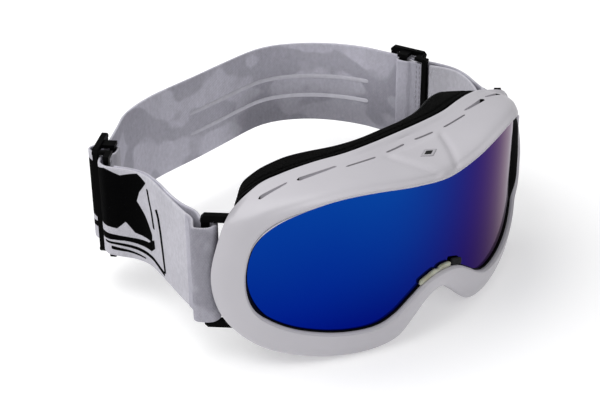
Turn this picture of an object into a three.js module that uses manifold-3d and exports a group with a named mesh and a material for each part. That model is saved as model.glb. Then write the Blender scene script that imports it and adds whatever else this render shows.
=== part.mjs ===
// Ski goggles: wrap-round frame with a cylindrical double lens, face foam, and
// a looped elastic strap with two sliders.  Millimetres, +Z up, front is -Y.
import * as THREE from 'three';
import Module from 'manifold-3d';

// ---------------------------------------------------------------- dimensions
const R = 111.5;            // radius of the lens cylinder (vertical axis)
const SUB = 2;              // steps between control stations of a rail
const STRAP_W = 40;         // webbing width
const STRAP_T = 1.2;        // webbing thickness
const STRAP_TOP = 20;       // height of the webbing's top edge over lens centre
const GAP = 0.35;           // clearance between neighbouring pieces
const LOOP_O = 7.0;         // depth of the strap loop's plane behind the lens cylinder
const LOOP_S = 91.4;          // arc position of the strap loop's middle
const LOOP_HALF = 4.9;      // from the loop's middle to each upright bar
const SLIDER_L = 17;        // slider length along the strap

const wasm = await Module();
wasm.setup();

// ---------------------------------------------------------------- rails
// Each rail runs from the top centre round one side to the nose: [s, z, o]
// s = arc length on the lens cylinder, z = height, o = depth behind the lens.
const A = [[0,26.8],[16,28.4],[32,30.4],[46,30.5],[59,27.9],[70.5,22.8],[78,15.2],[81.1,4],[80.3,-7],[75.5,-15.2],[66,-21],[54,-24.8],[42,-26.9],[31,-27],[23.2,-24.2],[16.3,-19.5],[8.6,-14.8],[0,-13.1]];
const B = [[0,31.2,3.5],[17,32.4,3.5],[33,34.0,4],[48,33.9,3.6],[62.5,31.8,2.6],[76,27.6,1.6],[87.6,20.2,1],[93.7,5,1],[93.1,-9,1],[87.4,-20.2,1],[76,-29.4,1],[60,-35.2,1.5],[45,-38,2],[31,-38.6,2],[20.5,-36.6,2],[13.6,-30.7,2],[7,-24.7,2],[0,-22,2]];
const C = [[0,34.3,19.4],[17,34.4,18.1],[34,34.9,15.6],[49,34.6,14],[63.5,32.9,11.5],[77,29.3,7.5],[88.9,21.6,2.2],[92.6,5,2.2],[91.9,-9,2.2],[86.6,-20,3],[75.6,-28.6,5],[60,-34.6,7],[45,-37.2,8.5],[31,-37.9,9],[21,-35.9,9.5],[14.1,-30,10],[7.5,-24.1,10.5],[0,-21.3,11]];
const D = [[0,36.5,24.8],[17,36.3,24.2],[34,36.1,22.4],[50,35.5,21.1],[65,33.7,18.6],[77.2,30.9,14.2],[87.6,24.8,3.4],[90.2,5,3.2],[89.4,-9,3.2],[84.6,-19.4,5],[74.4,-27.6,9.5],[59.4,-33.4,12.5],[45,-36,14.5],[31,-36.7,15.6],[21.6,-34.7,16.6],[14.6,-29.1,17.6],[8,-23.4,18.6],[0,-20.6,19.5]];
const F = [[0,35.7,25.4],[17,35.5,24.8],[34,35.2,23],[50,34.4,21.7],[65,33.0,19.4],[77.8,29.9,16.2],[86.0,23.2,13.2],[86.3,5,10.2],[85.4,-9,10],[80.8,-18.8,10.8],[71.6,-26.2,12.6],[58.4,-31.6,14.6],[45,-34.2,16.2],[31.6,-34.8,17.2],[22.6,-32.8,18.2],[15.4,-27.6,19.2],[8.4,-22.2,20.2],[0,-19.6,21]];

const NH = (A.length - 1) * SUB;       // stations on one half
const N = NH * 2;                      // stations round the loop

function catmull(p0, p1, p2, p3, t) {
  const t2 = t * t, t3 = t2 * t;
  return 0.5 * (2 * p1 + (p2 - p0) * t + (2 * p0 - 5 * p1 + 4 * p2 - p3) * t2 + (3 * p1 - p0 - 3 * p2 + p3) * t3);
}
// full closed loop of a half rail, mirrored in s
function loop(rail) {
  const n = rail.length, out = [];
  const get = (i) => {
    if (i < 0) { const q = rail[-i]; return [-q[0], q[1], q[2] ?? 0]; }
    if (i >= n) { const q = rail[2 * (n - 1) - i]; return [-q[0], q[1], q[2] ?? 0]; }
    const q = rail[i]; return [q[0], q[1], q[2] ?? 0];
  };
  const half = [];
  for (let k = 0; k < n - 1; k++) for (let j = 0; j < SUB; j++) {
    const t = j / SUB, a = get(k - 1), b = get(k), c = get(k + 1), d = get(k + 2);
    half.push([0, 1, 2].map((m) => catmull(a[m], b[m], c[m], d[m], t)));
  }
  const last = rail[n - 1];
  half.push([last[0], last[1], last[2] ?? 0]);
  for (let i = 0; i <= NH; i++) out.push(half[i]);
  for (let i = NH - 1; i > 0; i--) out.push([-half[i][0], half[i][1], half[i][2]]);
  return out;
}
// unit normals of the loop in the (s, z) sheet, pointing away from the opening
function normals(L) {
  const n = L.length;
  return L.map((_, i) => {
    const a = L[(i + n - 1) % n], b = L[(i + 1) % n];
    const ds = b[0] - a[0], dz = b[1] - a[1], l = Math.hypot(ds, dz);
    return [-dz / l, ds / l];
  });
}
const off = (L, nn, d, o) => L.map((p, i) => [p[0] + nn[i][0] * d, p[1] + nn[i][1] * d, typeof o === 'function' ? o(p, i) : o]);
// inner edge of the foam and its flange: the wide offset, evened out at the corners
function inset(L, nn, d, dz) {
  let q = off(L, nn, d, 0).map((p, i) => [p[0], p[1], L[i][2]]);
  for (let k = 0; k < 12; k++) q = q.map((p, i) => { const a = q[(i + q.length - 1) % q.length], b = q[(i + 1) % q.length]; return [0, 1, 2].map((m) => (m < 2 && k > 3 ? p[m] : 0.5 * p[m] + 0.25 * (a[m] + b[m]))); });
  return q.map((p) => [p[0], p[1], p[2] + dz]);
}
const P3 = ([s, z, o]) => { const r = R - o, f = s / R; return [r * Math.sin(f), R - r * Math.cos(f), z]; };

// ---------------------------------------------------------------- mesh helpers
function geo(verts, tris) {
  const g = new THREE.BufferGeometry();
  g.setAttribute('position', new THREE.Float32BufferAttribute(verts.flat(), 3));
  g.setIndex(tris.flat());
  return orient(g);
}
function orient(g) {
  const p = g.attributes.position, ix = g.index.array;
  let v = 0;
  for (let i = 0; i < ix.length; i += 3) {
    const [a, b, c] = [ix[i], ix[i + 1], ix[i + 2]].map((k) => [p.getX(k), p.getY(k), p.getZ(k)]);
    v += a[0] * (b[1] * c[2] - b[2] * c[1]) - a[1] * (b[0] * c[2] - b[2] * c[0]) + a[2] * (b[0] * c[1] - b[1] * c[0]);
  }
  if (v < 0) for (let i = 0; i < ix.length; i += 3) { const t = ix[i]; ix[i] = ix[i + 1]; ix[i + 1] = t; }
  return g;
}
// closed tube: rows of section points, wrapping both ways
function ringBody(rows) {
  const n = rows.length, m = rows[0].length, v = rows.flat(), t = [];
  for (let i = 0; i < n; i++) for (let j = 0; j < m; j++) {
    const a = i * m + j, b = i * m + (j + 1) % m, c = ((i + 1) % n) * m + j, d = ((i + 1) % n) * m + (j + 1) % m;
    t.push([a, b, d], [a, d, c]);
  }
  return geo(v, t);
}
// open strip with a closed section and flat ends
function stripBody(rows) {
  const n = rows.length, m = rows[0].length, v = rows.flat(), t = [];
  for (let i = 0; i < n - 1; i++) for (let j = 0; j < m; j++) {
    const a = i * m + j, b = i * m + (j + 1) % m, c = (i + 1) * m + j, d = (i + 1) * m + (j + 1) % m;
    t.push([a, b, d], [a, d, c]);
  }
  for (let j = 1; j < m - 1; j++) { t.push([0, j + 1, j], [(n - 1) * m, (n - 1) * m + j, (n - 1) * m + j + 1]); }
  return geo(v, t);
}
// swept ring from section functions: each is (i) => [s, z, o]
const sweep = (loops) => ringBody(loops[0].map((_, i) => loops.map((L) => P3(L[i]))));

function toManifold(g) {
  const p = g.attributes.position.array, ix = g.index.array;
  return new wasm.Manifold(new wasm.Mesh({ numProp: 3, vertProperties: new Float32Array(p), triVerts: new Uint32Array(ix) }));
}
function fromManifold(m) {
  const q = m.getMesh(), v = [], t = [];
  for (let i = 0; i < q.vertProperties.length; i += q.numProp) v.push([q.vertProperties[i], q.vertProperties[i + 1], q.vertProperties[i + 2]]);
  for (let i = 0; i < q.triVerts.length; i += 3) t.push([q.triVerts[i], q.triVerts[i + 1], q.triVerts[i + 2]]);
  return geo(v, t);
}
// prism from a plan outline (x, y) between two heights, with an optional hole
function prism(outline, z0, z1, hole) {
  const area = (q) => q.reduce((s, p, i) => { const r = q[(i + 1) % q.length]; return s + p[0] * r[1] - r[0] * p[1]; }, 0);
  const ccw = area(outline) > 0 ? outline : outline.slice().reverse();
  const cw = hole ? (area(hole) < 0 ? hole : hole.slice().reverse()) : null;
  const V2 = (q) => q.map(([x, y]) => new THREE.Vector2(x, y));
  const tri = THREE.ShapeUtils.triangulateShape(V2(ccw), cw ? [V2(cw)] : []);
  const all = cw ? ccw.concat(cw) : ccw, n = all.length, v = [], t = [];
  for (const [x, y] of all) v.push([x, y, z0]);
  for (const [x, y] of all) v.push([x, y, z1]);
  for (const [a, b, c] of tri) { t.push([a, c, b]); t.push([a + n, b + n, c + n]); }
  const wall = (s, m) => { for (let i = 0; i < m; i++) { const a = s + i, b = s + (i + 1) % m; t.push([a, b, b + n], [a, b + n, a + n]); } };
  wall(0, ccw.length);
  if (cw) wall(ccw.length, cw.length);
  return geo(v, t);
}

// ---------------------------------------------------------------- frame loops
const LA = loop(A), LB = loop(B), LC = loop(C), LD = loop(D), LF = loop(F);
let NA = normals(LA), NB = normals(LB), NC = normals(LC), ND = normals(LD), NF = normals(LF);
// point normals outward (away from the lens centre) at the top centre
for (const set of [NA, NB, NC, ND, NF]) if (set[0][1] < 0) set.forEach((q) => { q[0] *= -1; q[1] *= -1; });

const mid = (P, Q, t, o) => P.map((p, i) => [p[0] + (Q[i][0] - p[0]) * t, p[1] + (Q[i][1] - p[1]) * t, o(p, i)]);
const keepO = (p) => p[2];

// front shell section, walked round: lip, bulge, shoulder, slot line, rear edge, back inside
const shell = [
  off(LA, NA, 0, -0.9),
  off(LA, NA, 1.2, -1.5),
  mid(LA, LB, 0.62, (p, i) => -0.9 + 0.25 * LB[i][2]),
  LB, LC, LD,
  off(LD, ND, -1.7, (p, i) => LD[i][2] - 0.05),
  off(LC, NC, -2.0, (p, i) => LC[i][2] + 0.6 * (LC[i][2] < 4 ? 1 : 0.2)),
  off(LA, NA, 2.4, (p, i) => Math.min(7.4, Math.max(4.6, LC[i][2] * 0.6 + 3.2))),
  off(LA, NA, 1.4, (p, i) => Math.min(7.4, Math.max(4.6, LC[i][2] * 0.6 + 3.2))),
  off(LA, NA, 1.4, 0.55),
  off(LA, NA, 0.1, 0.55),
];
let frameGeo = sweep(shell);

// vent slots along the top, as pairs [s0, s1] on each side of the centre
const SLOTS = [[3.4, 15.2], [21.8, 38], [41.5, 60], [64, 76]];
const slotO = (s) => { const a = Math.abs(s); const X = [0, 3.4, 15.3, 22.5, 38, 41.5, 60, 64, 76.5], Y = [19.4, 19.4, 18.2, 17.0, 14.8, 16.2, 12.8, 12.6, 7.6]; for (let i = 1; i < X.length; i++) if (a <= X[i]) return Y[i - 1] + (Y[i] - Y[i - 1]) * (a - X[i - 1]) / (X[i] - X[i - 1]); return 7.6; };
{
  let m = toManifold(frameGeo);
  for (const sg of [-1, 1]) for (const [a, b] of SLOTS) {
    const rows = [];
    for (let k = 0; k <= 3; k++) {
      const s = sg * (a + (b - a) * k / 3), o = slotO(s);
      rows.push([P3([s, 24, o - 0.55]), P3([s, 24, o + 0.85]), P3([s, 40, o + 0.85]), P3([s, 40, o - 0.55])]);
    }
    m = m.subtract(toManifold(stripBody(rows)));
  }
  frameGeo = fromManifold(m);
}

// inner frame: chamber wall and the flange that carries the foam
const wallStart = (p, i) => Math.min(7.4, Math.max(4.6, LC[i][2] * 0.6 + 3.2)) + 0.45;
const chassis = [
  off(LA, NA, 0.2, wallStart),
  off(LA, NA, 1.7, wallStart),
  off(LF, NF, -3.6, (p, i) => LF[i][2] - 0.3),
  off(LF, NF, 0, (p, i) => LF[i][2] + 0.1),
  off(LF, NF, 0, (p, i) => LF[i][2] + 1.6),
  inset(LF, NF, -8, 1.6),
  inset(LF, NF, -8, 0.4),
  off(LF, NF, -5.2, (p, i) => LF[i][2]),
];

// the face side of the pad stands further back at the temples
const ease = (a, b, x) => { const t = Math.min(1, Math.max(0, (x - a) / (b - a))); return t * t * (3 - 2 * t); };
const temple = LF.map((p) => 5.0 * ease(12, 66, Math.abs(p[0])) * ease(-26, 6, p[1]));
const deeper = (L, e) => L.map((p, i) => [p[0], p[1], p[2] + e * temple[i]]);
// e0, e1: how much of the temple depth the front and the back of the layer take up
const foamBand = (o0, o1, a, b, a2, b2, e0 = 0, e1 = 0) => sweep([
  off(LF, NF, a, (p, i) => LF[i][2] + o0 + e0 * temple[i]), off(LF, NF, a2, (p, i) => LF[i][2] + o1 + e1 * temple[i]),
  deeper(inset(LF, NF, b2, o1), e1), deeper(inset(LF, NF, b, o0), e0)]);

// curved sheet inside the opening: columns across, three rows up
function lens(grow, o0, o1) {
  const L = off(LA, NA, grow, 0);
  // pair the upper and lower halves of the outline by s
  const up = L.slice(0, NH + 1).filter((_, i) => true);
  const maxI = up.reduce((m, p, i) => (p[0] > up[m][0] ? i : m), 0);
  const top = up.slice(0, maxI + 1), bot = up.slice(maxI);
  const zAt = (arr, s) => {
    for (let i = 1; i < arr.length; i++) {
      const a = arr[i - 1], b = arr[i];
      if ((s >= Math.min(a[0], b[0]) - 1e-9) && (s <= Math.max(a[0], b[0]) + 1e-9)) return Math.abs(b[0] - a[0]) < 1e-9 ? a[1] : a[1] + (b[1] - a[1]) * (s - a[0]) / (b[0] - a[0]);
    }
    return arr[arr.length - 1][1];
  };
  const smax = up[maxI][0];
  const ss = [];
  for (const q of [0, 4, 8.6, 12.5, 16.3, 20, 23.2, 27, 31, 36.5, 42, 48, 54, 60, 66, 70.5, 74, 76.5]) ss.push(q);
  for (const f of [0.965, 0.985]) ss.push(smax * f);
  const cols = [];
  const all = ss.slice(1).reverse().map((s) => -s).concat(ss);
  const K = 4;
  for (const s of all) {
    const a = Math.abs(s), zt = zAt(top, a), zb = zAt(bot, a), c = [];
    for (let k = 0; k <= K; k++) c.push([s, zb + (zt - zb) * k / K]);
    cols.push(c);
  }
  const v = [], t = [], W = K + 1, n = cols.length;
  for (const o of [o0, o1]) for (const c of cols) for (const [s, z] of c) v.push(P3([s, z, o]));
  const id = (l, i, k) => l * n * W + i * W + k;
  for (let i = 0; i < n - 1; i++) for (let k = 0; k < K; k++) {
    t.push([id(0, i, k), id(0, i + 1, k), id(0, i + 1, k + 1)], [id(0, i, k), id(0, i + 1, k + 1), id(0, i, k + 1)]);
    t.push([id(1, i, k), id(1, i + 1, k + 1), id(1, i + 1, k)], [id(1, i, k), id(1, i, k + 1), id(1, i + 1, k + 1)]);
  }
  for (let i = 0; i < n - 1; i++) {
    t.push([id(0, i, 0), id(1, i, 0), id(1, i + 1, 0)], [id(0, i, 0), id(1, i + 1, 0), id(0, i + 1, 0)]);
    t.push([id(0, i, K), id(1, i + 1, K), id(1, i, K)], [id(0, i, K), id(0, i + 1, K), id(1, i + 1, K)]);
  }
  for (let k = 0; k < K; k++) {
    t.push([id(0, 0, k), id(0, 0, k + 1), id(1, 0, k + 1)], [id(0, 0, k), id(1, 0, k + 1), id(1, 0, k)]);
    t.push([id(0, n - 1, k), id(1, n - 1, k + 1), id(0, n - 1, k + 1)], [id(0, n - 1, k), id(1, n - 1, k), id(1, n - 1, k + 1)]);
  }
  return geo(v, t);
}
const band = (d0, d1, o0, o1) => sweep([off(LA, NA, d1, o0), off(LA, NA, d1, o1), off(LA, NA, d0, o1), off(LA, NA, d0, o0)]);

// foam strip under the top vents, on the chamber side of the wall
function ventFoam() {
  const rows = [];
  for (let i = -11; i <= 11; i++) {
    const k = (i + N) % N;
    const a = off(LA, NA, 0.2, 0)[k], b = off(LF, NF, -5.2, 0)[k], oa = wallStart(null, k), ob = LF[k][2];
    const at = (t, d) => { const s = a[0] + (b[0] - a[0]) * t, z = a[1] + (b[1] - a[1]) * t - d, o = oa + (ob - oa) * t; return P3([s, z, o]); };
    rows.push([at(0.25, 0.8), at(0.85, 0.8), at(0.85, 2.1), at(0.25, 2.1)]);
  }
  return stripBody(rows);
}

// ---------------------------------------------------------------- strap plan
const rot = (p, a) => [p[0] * Math.cos(a) - p[1] * Math.sin(a), p[0] * Math.sin(a) + p[1] * Math.cos(a)];
const fi = LOOP_S / R;
// loop axes on one side (sg = -1 left, +1 right): u along the loop towards the strap, n away from the head
function loopFrame(sg) {
  const r = R - LOOP_O, m = [sg * r * Math.sin(fi), R - r * Math.cos(fi)];
  return { m, u: [sg * Math.cos(fi), Math.sin(fi)], n: [sg * Math.sin(fi), -Math.cos(fi)] };
}
const loc = (f, a, b) => [f.m[0] + f.u[0] * a + f.n[0] * b, f.m[1] + f.u[1] * a + f.n[1] * b];
// slider axes: front end, direction along the strap towards the back, outward normal
const SL = { m: [-77.5, 112.2], u: [0.7682, 0.6402], n: [-0.6402, 0.7682] };
const SR = { m: [85.0, 91.8], u: [-0.2557, 0.9668], n: [0.9668, 0.2557] };

const smooth = (pts, step) => {
  const out = [];
  for (let i = 0; i < pts.length - 1; i++) {
    const a = pts[Math.max(0, i - 1)], b = pts[i], c = pts[i + 1], d = pts[Math.min(pts.length - 1, i + 2)];
    const n = Math.max(1, Math.round(Math.hypot(c[0] - b[0], c[1] - b[1]) / step));
    for (let k = 0; k < n; k++) out.push([catmull(a[0], b[0], c[0], d[0], k / n), catmull(a[1], b[1], c[1], d[1], k / n)]);
  }
  out.push(pts[pts.length - 1]);
  return out;
};
function ribbon(path, t, z0, z1) {
  const n = path.length, L = [], Rr = [];
  for (let i = 0; i < n; i++) {
    const a = path[Math.max(0, i - 1)], b = path[Math.min(n - 1, i + 1)];
    const p = path[i];
    const d0 = i > 0 ? [p[0] - a[0], p[1] - a[1]] : [b[0] - p[0], b[1] - p[1]];
    const d1 = i < n - 1 ? [b[0] - p[0], b[1] - p[1]] : d0;
    const l0 = Math.hypot(...d0), l1 = Math.hypot(...d1);
    const n0 = [-d0[1] / l0, d0[0] / l0], n1 = [-d1[1] / l1, d1[0] / l1];
    let m = [n0[0] + n1[0], n0[1] + n1[1]]; const lm = Math.hypot(...m); m = [m[0] / lm, m[1] / lm];
    const k = Math.min(1.4, 1 / Math.max(0.3, m[0] * n0[0] + m[1] * n0[1]));
    L.push([p[0] + m[0] * k * t / 2, p[1] + m[1] * k * t / 2]);
    Rr.push([p[0] - m[0] * k * t / 2, p[1] - m[1] * k * t / 2]);
  }
  return stripBody(path.map((_, i) => [[...L[i], z0], [...Rr[i], z0], [...Rr[i], z1], [...L[i], z1]]));
}
const fL = loopFrame(-1), fR = loopFrame(1);
const HG = 3.6;                            // from the bar's middle to the webbing's middle in the turn
const uBar = LOOP_HALF;                    // the strap bar
// main run: outer layer left, through the slider, round the back, slider, outer layer right
const frontL = smooth([loc(fL, uBar + 1.2, HG), loc(fL, uBar + 4.4, HG - 0.2), [-81.0, 50], [-79.6, 58], [-77.3, 68], [-75.0, 78], [-73.3, 86.4], [-73.6, 92], [-75.4, 97.2], [-78.2, 101.6], [-80.3, 105.8], [-79.9, 109.4]], 3.2);
const frontR = smooth([[86.9, 87.2], [88.6, 80.6], [88.9, 74.5], [87.3, 67.6], [84.4, 60.6], [81.9, 54], [81.1, 49.2], loc(fR, uBar + 4.4, HG - 0.2), loc(fR, uBar + 1.2, HG)], 3.2);
const mainPts = frontL
  .concat([loc(SL, 0.4, 0), loc(SL, 10, 0), loc(SL, 20, 0)])
  .concat(smooth([loc(SL, 29, 0), [-49, 136.3], [-40, 141.2], [-27, 145.2], [-10, 147.5], [-2, 148.4]], 6))
  .concat(smooth([[28, 152.9], [38, 153.8], [47, 152.4], [56, 147.9], [64, 141.4], [70.4, 133.6], [75, 125.8], loc(SR, 29, 0)], 4.5))
  .concat([loc(SR, 20, 0), loc(SR, 10, 0), loc(SR, 0.4, 0)])
  .concat(frontR);
const zS1 = STRAP_TOP, zS0 = STRAP_TOP - STRAP_W;

// turn round the loop's bar and the return layer, ending short of the slider's sewn end
function turnPts(f, rest) {
  const c = uBar, pts = [loc(f, c + 0.8, HG)];
  for (let k = 0; k <= 8; k++) { const a = Math.PI / 2 + Math.PI * k / 8; pts.push(loc(f, c + HG * Math.cos(a), HG * Math.sin(a))); }
  return pts.concat(smooth([loc(f, c + 2.4, -HG), ...rest], 3.4));
}
// inner face's line of a front run, walked from the loop to the slider: [share of the run, distance from the outer layer]
function beside(run, sg, gaps) {
  const acc = [0];
  for (let i = 1; i < run.length; i++) acc.push(acc[i - 1] + Math.hypot(run[i][0] - run[i - 1][0], run[i][1] - run[i - 1][1]));
  return gaps.map(([t, d]) => {
    const want = t * acc[acc.length - 1]; let i = 1;
    while (i < run.length - 1 && acc[i] < want) i++;
    const f = (want - acc[i - 1]) / (acc[i] - acc[i - 1]), a = run[Math.max(0, i - 2)], b = run[Math.min(run.length - 1, i + 1)];
    const dx = b[0] - a[0], dy = b[1] - a[1], l = Math.hypot(dx, dy);
    return [run[i - 1][0] + (run[i][0] - run[i - 1][0]) * f - sg * dy / l * d, run[i - 1][1] + (run[i][1] - run[i - 1][1]) * f + sg * dx / l * d];
  });
}
const NEAR = 1.8;                          // between the middles of two layers lying together
const tL = turnPts(fL, [...beside(frontL, -1, [[0.2, 3.9], [0.3, 2.4], [0.4, NEAR], [0.5, NEAR], [0.6, NEAR], [0.7, NEAR], [0.78, NEAR], [0.85, NEAR], [0.9, 1.9]])]);
const tR = turnPts(fR, [...beside(frontR.slice().reverse(), 1, [[0.24, 3.6], [0.36, 2.2], [0.48, NEAR], [0.6, NEAR], [0.72, NEAR], [0.84, 2.2]]), loc(SR, -4.9, -2.9)]);

// sewn end of the webbing round the slider's centre bar
function sewnEnd(f) {
  const bu = 8.5, bn = -3.3, hu = 1.5 + GAP, hn = 1.0 + GAP, w = 0.9, c = 0.3, cc = 1.0;
  const ou = hu + w, on = hn + w;
  const hole = [[hu - c, hn], [hu, hn - c], [hu, -hn + c], [hu - c, -hn], [-hu + c, -hn], [-hu, -hn + c], [-hu, hn - c], [-hu + c, hn]];
  const outer = [[-ou, on], [ou - cc, on], [ou, on - cc], [ou, -on + cc], [ou - cc, -on], [-ou, -on], [-7.5, -1.15], [-10, -1.1], [-10, 1.1], [-7.5, 1.15]];
  const at = (q) => q.map(([a, b]) => loc(f, bu + a, bn + b));
  return prism(at(outer), zS0, zS1, at(hole));
}

// ---------------------------------------------------------------- small hardware
const boxIn = (f, a0, a1, b0, b1, z0, z1) => toManifold(prism([loc(f, a0, b0), loc(f, a1, b0), loc(f, a1, b1), loc(f, a0, b1)], z0, z1));
const cylIn = (f, a, b, r, z0, z1, k = 14) => toManifold(prism(Array.from({ length: k }, (_, i) => loc(f, a + r * Math.cos(2 * Math.PI * i / k), b + r * Math.sin(2 * Math.PI * i / k))), z0, z1));
const zc = (zS0 + zS1) / 2;
const chamf = (f, a0, a1, b0, b1, z0, z1, c, up) => {       // cross arm with its outer corners cut
  const ze = up ? z1 : z0, zi = up ? z0 : z1, v = [], q = [[a0, b0], [a1, b0], [a1, b1], [a0, b1]];
  for (const [a, b] of q) v.push([...loc(f, a, b), zi]);
  for (const [a, b] of q) v.push([...loc(f, a, b), ze - (up ? c : -c)]);
  for (const [a, b] of q) v.push([...loc(f, a === a0 ? a + c : a - c, b), ze]);
  const t = [[0, 1, 2], [0, 2, 3], [8, 10, 9], [8, 11, 10]];
  for (const s of [0, 4]) for (let i = 0; i < 4; i++) { const j = (i + 1) % 4; t.push([s + i, s + 4 + i, s + 4 + j], [s + i, s + 4 + j, s + j]); }
  return toManifold(geo(v, t));
};
function strapLoop(f) {
  const zt = zS1 + 1.1, zb = zS0 - 1.1, h = 2.7;
  let m = boxIn(f, LOOP_HALF - 1.5, LOOP_HALF + 1.5, -1.0, 1.0, zb - 0.6, zt + 0.6);
  m = m.add(cylIn(f, -LOOP_HALF, 0, 1.3, zb - 0.6, zt + 0.6));
  m = m.add(chamf(f, -LOOP_HALF - 1.45, LOOP_HALF + 1.65, -1.4, 1.4, zt, zt + h, 1.2, true));
  m = m.add(chamf(f, -LOOP_HALF - 1.45, LOOP_HALF + 1.65, -1.4, 1.4, zb - h, zb, 1.2, false));
  return fromManifold(m);
}
function hingeSleeve(f, sg) {
  const k = 16, o = [], h = [];
  for (let i = 0; i < k; i++) { const a = 2 * Math.PI * (i + 0.5) / k; o.push(loc(f, -LOOP_HALF + 2.5 * Math.cos(a), 2.5 * Math.sin(a))); h.push(loc(f, -LOOP_HALF + 1.65 * Math.cos(a), 1.65 * Math.sin(a))); }
  return prism(o, zc - 9, zc + 9, h);
}
function slider(f) {
  const zt = zS1 + 0.9, zb = zS0 - 0.9, h = 2.2;
  let m = boxIn(f, 0, 3, 0.95, 2.95, zb - 0.5, zt + 0.5);
  m = m.add(boxIn(f, SLIDER_L - 3, SLIDER_L, 0.95, 2.95, zb - 0.5, zt + 0.5));
  m = m.add(boxIn(f, 7, 10, -4.3, -2.3, zb - 0.5, zt + 0.5));
  m = m.add(boxIn(f, -3.9, -1.85, -4.6, -2.4, zb - 0.5, zt + 0.5));       // keeper bar in front of the sewn end
  for (const [z0, z1, up] of [[zt, zt + h, true], [zb - h, zb, false]]) {
    m = m.add(chamf(f, -0.15, SLIDER_L + 0.15, 0.8, 3.1, z0, z1, 1.2, up));
    m = m.add(boxIn(f, 6.2, 10.8, -4.5, 1.7, z0 + (up ? 0.15 : 0.6), z1 - (up ? 0.6 : 0.15)));
    m = m.add(boxIn(f, -4.05, 2.0, -4.75, -2.25, z0 + (up ? 0.15 : 0.6), z1 - (up ? 0.6 : 0.15)));
    m = m.add(boxIn(f, 0.2, 2.0, -2.5, 1.7, z0 + (up ? 0.15 : 0.6), z1 - (up ? 0.6 : 0.15)));
  }
  return fromManifold(m);
}

// clip over the nose arch that holds the lower edge of the lens
function noseClip() {
  const rows = [];
  for (let i = 0; i <= 8; i++) {
    const s = -12 + 18.5 * i / 8;
    const base = -13.1 - 0.0275 * s * s + 0.000045 * s * s * s * s;
    const h = i === 4 ? 1.6 : 2.4;
    rows.push([P3([s, base + 0.4, 0.6]), P3([s, base + 0.4, -0.55]), P3([s, base + h, -0.55]), P3([s, base + h, 0.6])].reverse());
  }
  return stripBody(rows);
}
// small blank badge on the brow
function badge() {
  const s0 = 0, o0 = 9.6, a = 4.4, b = 2.2;
  const base = (o) => 31.2 + (34.3 - 31.2) * (o - 3.5) / (19.4 - 3.5);
  const pts = [[-a, 0], [0, -b], [a, 0], [0, b]];
  const v = [];
  for (const h of [0.75, 1.35]) for (const [x, y] of pts) v.push([x, o0 + y, base(o0 + y) + h + 0.1]);
  return geo(v, [[0, 1, 2], [0, 2, 3], [4, 6, 5], [4, 7, 6], ...[0, 1, 2, 3].flatMap((i) => { const j = (i + 1) % 4; return [[i, i + 4, j + 4], [i, j + 4, j]]; })]);
}
// grip line on the inner face of the back run
function gripLine(z) {
  const i0 = mainPts.findIndex((p) => p[1] > 140), pts = [];
  for (const p of mainPts) if (p[1] > 139.5) pts.push(p);
  const n = pts.length;
  const inn = pts.map((p, i) => { const a = pts[Math.max(0, i - 1)], b = pts[Math.min(n - 1, i + 1)], d = [b[0] - a[0], b[1] - a[1]], l = Math.hypot(...d); return [p[0] + d[1] / l * 1.2, p[1] - d[0] / l * 1.2]; });
  return ribbon(inn, 0.5, z - 1, z + 1);
}

// ---------------------------------------------------------------- assembly
const part = new THREE.Group();
part.name = 'ski_goggles';
const mats = {
  shell: { color: 0xd8d7db, roughness: 0.3, metalness: 0 },
  black: { color: 0x141416, roughness: 0.45, metalness: 0 },
  foam: { color: 0x17171a, roughness: 0.95, metalness: 0 },
  fleece: { color: 0x222226, roughness: 1, metalness: 0 },
  mirror: { color: 0x0a2fa8, roughness: 0.08, metalness: 0.9 },
  clear: { color: 0xb9c2c8, roughness: 0.1, metalness: 0 },
  web: { color: 0xc9c8d0, roughness: 0.9, metalness: 0 },
  grip: { color: 0xd5d5da, roughness: 0.5, metalness: 0 },
  clip: { color: 0xc9c6bd, roughness: 0.35, metalness: 0 },
};
const inner = new THREE.Group();
function add(name, g, mat) {
  const o = new THREE.Mesh(g, new THREE.MeshStandardMaterial(mats[mat]));
  o.name = name; inner.add(o);
}
add('frame_shell', frameGeo, 'shell');
add('lens_outer', lens(1.0, 1.0, 2.2), 'mirror');
add('lens_spacer', band(-2.2, 1.0, 2.55, 3.7), 'foam');
add('lens_inner', lens(1.0, 4.05, 4.4), 'clear');
add('inner_frame', sweep(chassis), 'black');
add('vent_foam_top', ventFoam(), 'foam');
add('face_foam_base', foamBand(2.1, 4.1, 0, -8, -0.1, -8.4), 'foam');
add('face_foam_soft', foamBand(4.6, 8.2, -0.1, -8.4, -1.0, -8.0, 0, 1), 'foam');
add('face_fleece', foamBand(8.65, 9.5, -1.0, -8.0, -1.8, -7.2, 1, 1), 'fleece');
add('nose_clip', noseClip(), 'clip');
add('brow_badge', badge(), 'black');
add('strap_loop_left', strapLoop(fL), 'black');
add('strap_loop_right', strapLoop(fR), 'black');
add('hinge_sleeve_left', hingeSleeve(fL, -1), 'black');
add('hinge_sleeve_right', hingeSleeve(fR, 1), 'black');
add('strap_main', ribbon(mainPts, STRAP_T, zS0, zS1), 'web');
add('strap_turn_left', ribbon(tL, STRAP_T, zS0, zS1), 'web');
add('strap_turn_right', ribbon(tR, STRAP_T, zS0, zS1), 'web');
add('strap_end_left', sewnEnd(SL), 'web');
add('strap_end_right', sewnEnd(SR), 'web');
add('slider_left', slider(SL), 'black');
add('slider_right', slider(SR), 'black');
add('grip_line_upper', gripLine(3.2), 'grip');
add('grip_line_lower', gripLine(-6.8), 'grip');

const bb = new THREE.Box3().setFromObject(inner);
inner.position.set(-(bb.min.x + bb.max.x) / 2, -(bb.min.y + bb.max.y) / 2, -bb.min.z);
inner.updateMatrixWorld(true);
part.add(inner);
export default part;
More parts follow.
